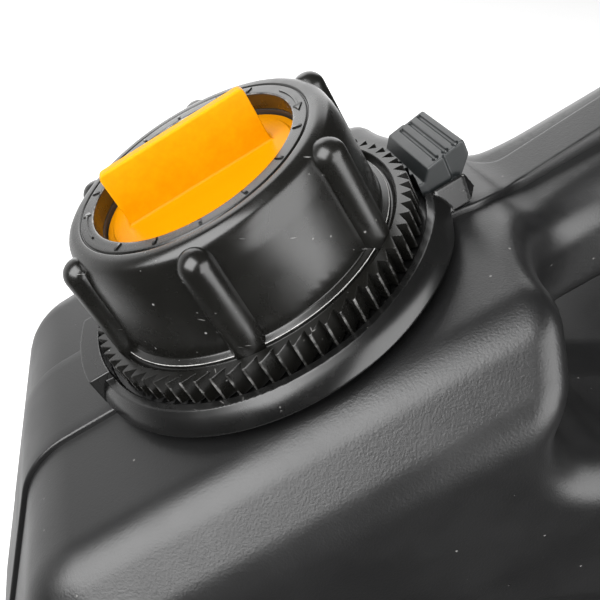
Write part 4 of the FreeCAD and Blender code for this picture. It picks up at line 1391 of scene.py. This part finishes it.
@dataclass(frozen=True)
class Plastic:
    """One moulded plastic or rubber and how used it looks."""

    name: str
    color: tuple[float, float, float]
    pale: tuple[float, float, float]
    roughness: float
    rough_swing: float
    grain_scale: float
    grain_depth: float
    scuff: float = 0.0
    dust: float = 0.0
    wear: float = 0.0
    tint: float = 0.12
    specular: float = 0.5
    scuff_scale: float = 60.0
    scratch_pale: float = 0.5
    scratch_rough: float = 0.3
    scratch_cut: float = 0.6
    scratch_depth: float = 2e-6
    rub_rough: float = 0.16
    dust_scale: float = 520.0
    dust_pale: float = 0.3
    dust_rough: float = 0.3
    pit_cut: float = 2.5
    wear_break: float = 0.5
    wear_rough: float = 0.2

    def material(self, effects: Effects) -> bpy.types.Material:
        """Wire the material.

        Args:
            effects: The shared node groups.

        Returns:
            The material.
        """
        made = bpy.data.materials.new(self.name)
        made.use_nodes = True
        graph = Graph(made.node_tree)

        def use(tree: bpy.types.NodeTree, **inputs: float) -> bpy.types.Node:
            """Place a shared group with this plastic's own values."""
            return graph.add("Group", inputs, node_tree=tree)

        grain = use(effects.grain, Scale=self.grain_scale)
        dark = tuple(c * (1 - self.tint) for c in self.color) + (1.0,)
        light = tuple(min(c * (1 + self.tint), 1.0) for c in self.color) + (1.0,)
        color = graph.mix(grain.outputs["Blotch"], dark, light)
        rough = graph.math("MULTIPLY_ADD", grain.outputs["Blotch"], self.rough_swing, self.roughness)
        pale = self.pale + (1.0,)
        height = graph.math("MULTIPLY", grain.outputs["Height"], self.grain_depth)
        if self.scuff:
            scuffs = use(effects.scuffs, Scale=self.scuff_scale)
            scratch = graph.math("MULTIPLY", scuffs.outputs["Scratch"], self.scuff)
            color = graph.mix(graph.math("MULTIPLY", scratch, self.scratch_pale), color, pale)
            rub = graph.math("MULTIPLY", scuffs.outputs["Rub"], self.rub_rough * self.scuff)
            dull = graph.math("MAXIMUM", rub, graph.math("MULTIPLY", scratch, self.scratch_rough))
            rough = graph.math("ADD", rough, dull)
            cut = -self.scratch_cut * self.grain_depth - self.scratch_depth
            height = graph.math("MULTIPLY_ADD", scratch, cut, height)
        if self.dust:
            specks = use(effects.specks, Scale=self.dust_scale, Amount=self.dust)
            color = graph.mix(graph.math("MULTIPLY", specks.outputs["Dust"], self.dust_pale), color, pale)
            rough = graph.math("MULTIPLY_ADD", specks.outputs["Dust"], self.dust_rough, rough)
            height = graph.math("MULTIPLY_ADD", specks.outputs["Pit"], -self.pit_cut * self.grain_depth, height)
        if self.wear:
            edges = use(effects.edges, Break=self.wear_break)
            worn = graph.math("MULTIPLY", edges.outputs["Mask"], self.wear)
            color = graph.mix(worn, color, pale)
            rough = graph.math("MULTIPLY_ADD", worn, self.wear_rough, rough)
        bump = graph.add("Bump", {"Height": height, "Strength": 1.0, "Distance": 1.0})
        base = {"Base Color": color, "Roughness": rough, "Specular IOR Level": self.specular,
                "Normal": bump.outputs[0]}
        shader = graph.add("BsdfPrincipled", base)
        graph.add("OutputMaterial", {"Surface": shader.outputs[0]})
        return made


class Finishes:
    """Materials of all the pieces."""

    def __init__(self) -> None:
        """Build each material once."""
        effects = Effects()
        dust = (0.55, 0.54, 0.52)
        self.can = Plastic("can_satin", (0.010, 0.010, 0.0102), dust, 0.33, 0.07, 2300.0, 4.2e-5,
                           dust=0.03, specular=0.9).material(effects)
        # The collar and the lever are one plastic: the collar's colour is darkened as painted shade, the
        # lever's is lightened and tinted as painted light.
        self.collar = Plastic("collar_gloss_painted_shade", (0.0048, 0.0048, 0.0047), dust, 0.23, 0.08, 2200.0, 3e-6,
                              scuff=0.5, dust=0.05, wear=0.3, specular=0.9).material(effects)
        self.lever = Plastic("lever_satin_painted_light", (0.016, 0.0188, 0.0196), dust, 0.34, 0.08, 2200.0, 4e-6,
                             scuff=0.3, dust=0.04, wear=0.3, specular=0.9).material(effects)
        self.cap = Plastic("cap_gloss", (0.0072, 0.007, 0.006), (0.78, 0.77, 0.75), 0.22, 0.08, 900.0, 1.5e-6,
                           scuff=0.5, dust=0.05, wear=0.95, specular=0.9).material(effects)
        # Its pale colour marks the worn disc rim and, along the wing's top edge, a painted highlight.
        self.stopper = Plastic("stopper_satin_painted_edge_highlight", (0.76, 0.285, 0.0), (0.95, 0.46, 0.0), 0.38, 0.03, 1300.0,
                               3e-6, scuff=0.04, wear=0.5, tint=0.006, specular=0.1).material(effects)
        self.rubber = Plastic("seal_matt", (0.018, 0.018, 0.018), dust, 0.72, 0.10, 2600.0, 6e-6,
                              dust=0.1).material(effects)
        self.spout = Plastic("spout_satin", (0.03, 0.03, 0.031), dust, 0.42, 0.10, 1700.0, 5e-6, scuff=0.3,
                             dust=0.06).material(effects)


def dress(piece: bpy.types.Object, body: Body, material: bpy.types.Material,
          node: str) -> bpy.types.Object:
    """Give a piece its material and body, and hide the CAD node that it replaces.

    Args:
        piece: The piece.
        body: Body it moves with.
        material: Its material.
        node: CAD node that it replaces.

    Returns:
        The piece.
    """
    piece.data.materials.append(material)
    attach(piece, body.value)
    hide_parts(node)
    return piece


# ------------------------------------------------------------------ studio
@dataclass
class Softbox:
    """Square area light."""

    place: tuple[float, float, float]
    target: tuple[float, float, float]
    size: float
    power: float
    seen: bool = True

    def build(self, name: str) -> None:
        """Make the light and turn it to its target.

        Args:
            name: Name of the lamp and its object.
        """
        light = bpy.data.lights.new(name, "AREA")
        light.shape, light.size, light.energy = "SQUARE", self.size, self.power
        lamp = bpy.data.objects.new(name, light)
        lamp.location = self.place
        lamp.rotation_euler = (Vector(self.target) - Vector(self.place)).to_track_quat("-Z", "Y").to_euler()
        lamp.visible_glossy = self.seen
        bpy.context.scene.collection.objects.link(lamp)


@dataclass
class Studio:
    """Pale floor, soft light and the camera."""

    floor_half: float = 4.0
    window: tuple[float, float, float] = (-0.30, 0.90, -0.32)
    sensor: float = 36.0
    lens: float = 44.83
    shift: tuple[float, float] = (0.1640, -0.0466)
    place: tuple[float, float, float] = (-0.14079, -0.13949, 0.40249)
    azimuth: float = 13.80
    elevation: float = -29.08
    roll: float = 6.87
    glow: float = 0.03
    boxes: list[Softbox] = field(default_factory=lambda: [
        Softbox((-1.04, -0.60, 1.01), (-0.10, -0.05, 0.30), 1.4, 30.0),
        Softbox((0.66, -1.03, 0.70), (-0.10, -0.05, 0.30), 1.3, 17.0),
        Softbox((0.10, 1.50, 0.90), (-0.05, 0.0, 0.30), 1.8, 16.0),
        Softbox((0.0, 0.3, 2.6), (0.0, 0.3, 0.0), 2.6, 30.0, False)])

    def build(self) -> None:
        """Set up the floor, world, lights and camera."""
        mesh = bpy.data.meshes.new("floor")
        corners = [(x * self.floor_half, y * self.floor_half, 0)
                   for x, y in ((-1, -1), (1, -1), (1, 1), (-1, 1))]
        mesh.from_pydata(corners, [], [(0, 1, 2, 3)])
        floor = bpy.data.objects.new("floor", mesh)
        bpy.context.scene.collection.objects.link(floor)
        paint = bpy.data.materials.new("floor_pale")
        paint.use_nodes = True
        graph = Graph(paint.node_tree)
        place = graph.add("TexCoord").outputs["Object"]
        tone = graph.mix(graph.noise(place, 4.0, 3.0), (0.80, 0.80, 0.80, 1.0), (0.82, 0.82, 0.82, 1.0))
        away = graph.add("VectorMath", {0: place}, operation="LENGTH").outputs["Value"]
        shine = graph.ramp(away, 0.25, 1.8, 0.55, 1.0)
        shader = graph.add("BsdfPrincipled", {"Base Color": tone, "Roughness": 0.8, "Emission Color": tone,
                                              "Emission Strength": shine})
        graph.add("OutputMaterial", {"Surface": shader.outputs[0]})
        mesh.materials.append(paint)
        floor.visible_glossy = False
        world = bpy.data.worlds.new("studio")
        world.use_nodes = True
        graph = Graph(world.node_tree)
        way = {0: graph.add("TexCoord").outputs["Generated"], 1: self.window}
        side = graph.add("VectorMath", way, operation="DOT_PRODUCT").outputs["Value"]
        soft = graph.ramp(side, 0.3, 0.95, self.glow, 1.0)
        seen = graph.add("LightPath").outputs["Is Camera Ray"]
        strength = graph.math("MAXIMUM", soft, seen)
        sky = graph.add("Background", {"Color": (1.0, 1.0, 1.0, 1.0), "Strength": strength})
        graph.add("OutputWorld", {"Surface": sky.outputs[0]})
        bpy.context.scene.world = world
        for number, box in enumerate(self.boxes):
            box.build(f"softbox_{number}")
        lens = bpy.data.cameras.new("camera")
        lens.lens, lens.sensor_width = self.lens, self.sensor
        lens.shift_x, lens.shift_y = self.shift
        lens.clip_start = 0.01
        camera = bpy.data.objects.new("camera", lens)
        turn = Matrix.Rotation(-math.radians(self.azimuth), 4, "Z")
        tilt = Matrix.Rotation(math.radians(90.0 + self.elevation), 4, "X")
        roll = Matrix.Rotation(math.radians(self.roll), 4, "Z")
        camera.matrix_world = Matrix.Translation(self.place) @ turn @ tilt @ roll
        bpy.context.scene.collection.objects.link(camera)
        bpy.context.scene.camera = camera
        bpy.context.scene.view_settings.view_transform = "Standard"


def main() -> None:
    """Build the can piece by piece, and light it."""
    logging.basicConfig(level=logging.INFO, format="%(message)s")
    finishes = Finishes()
    for part in (CanBody(), LockCollar(), ReleaseLever(), PouringSpout(), Stopper(), RingCap()):
        for piece in part.build(finishes):
            mesh = piece.data
            log.info("%s: %d vertices, %d faces", piece.name, len(mesh.vertices), len(mesh.polygons))
    Studio().build()


if __name__ == "__main__":
    main()
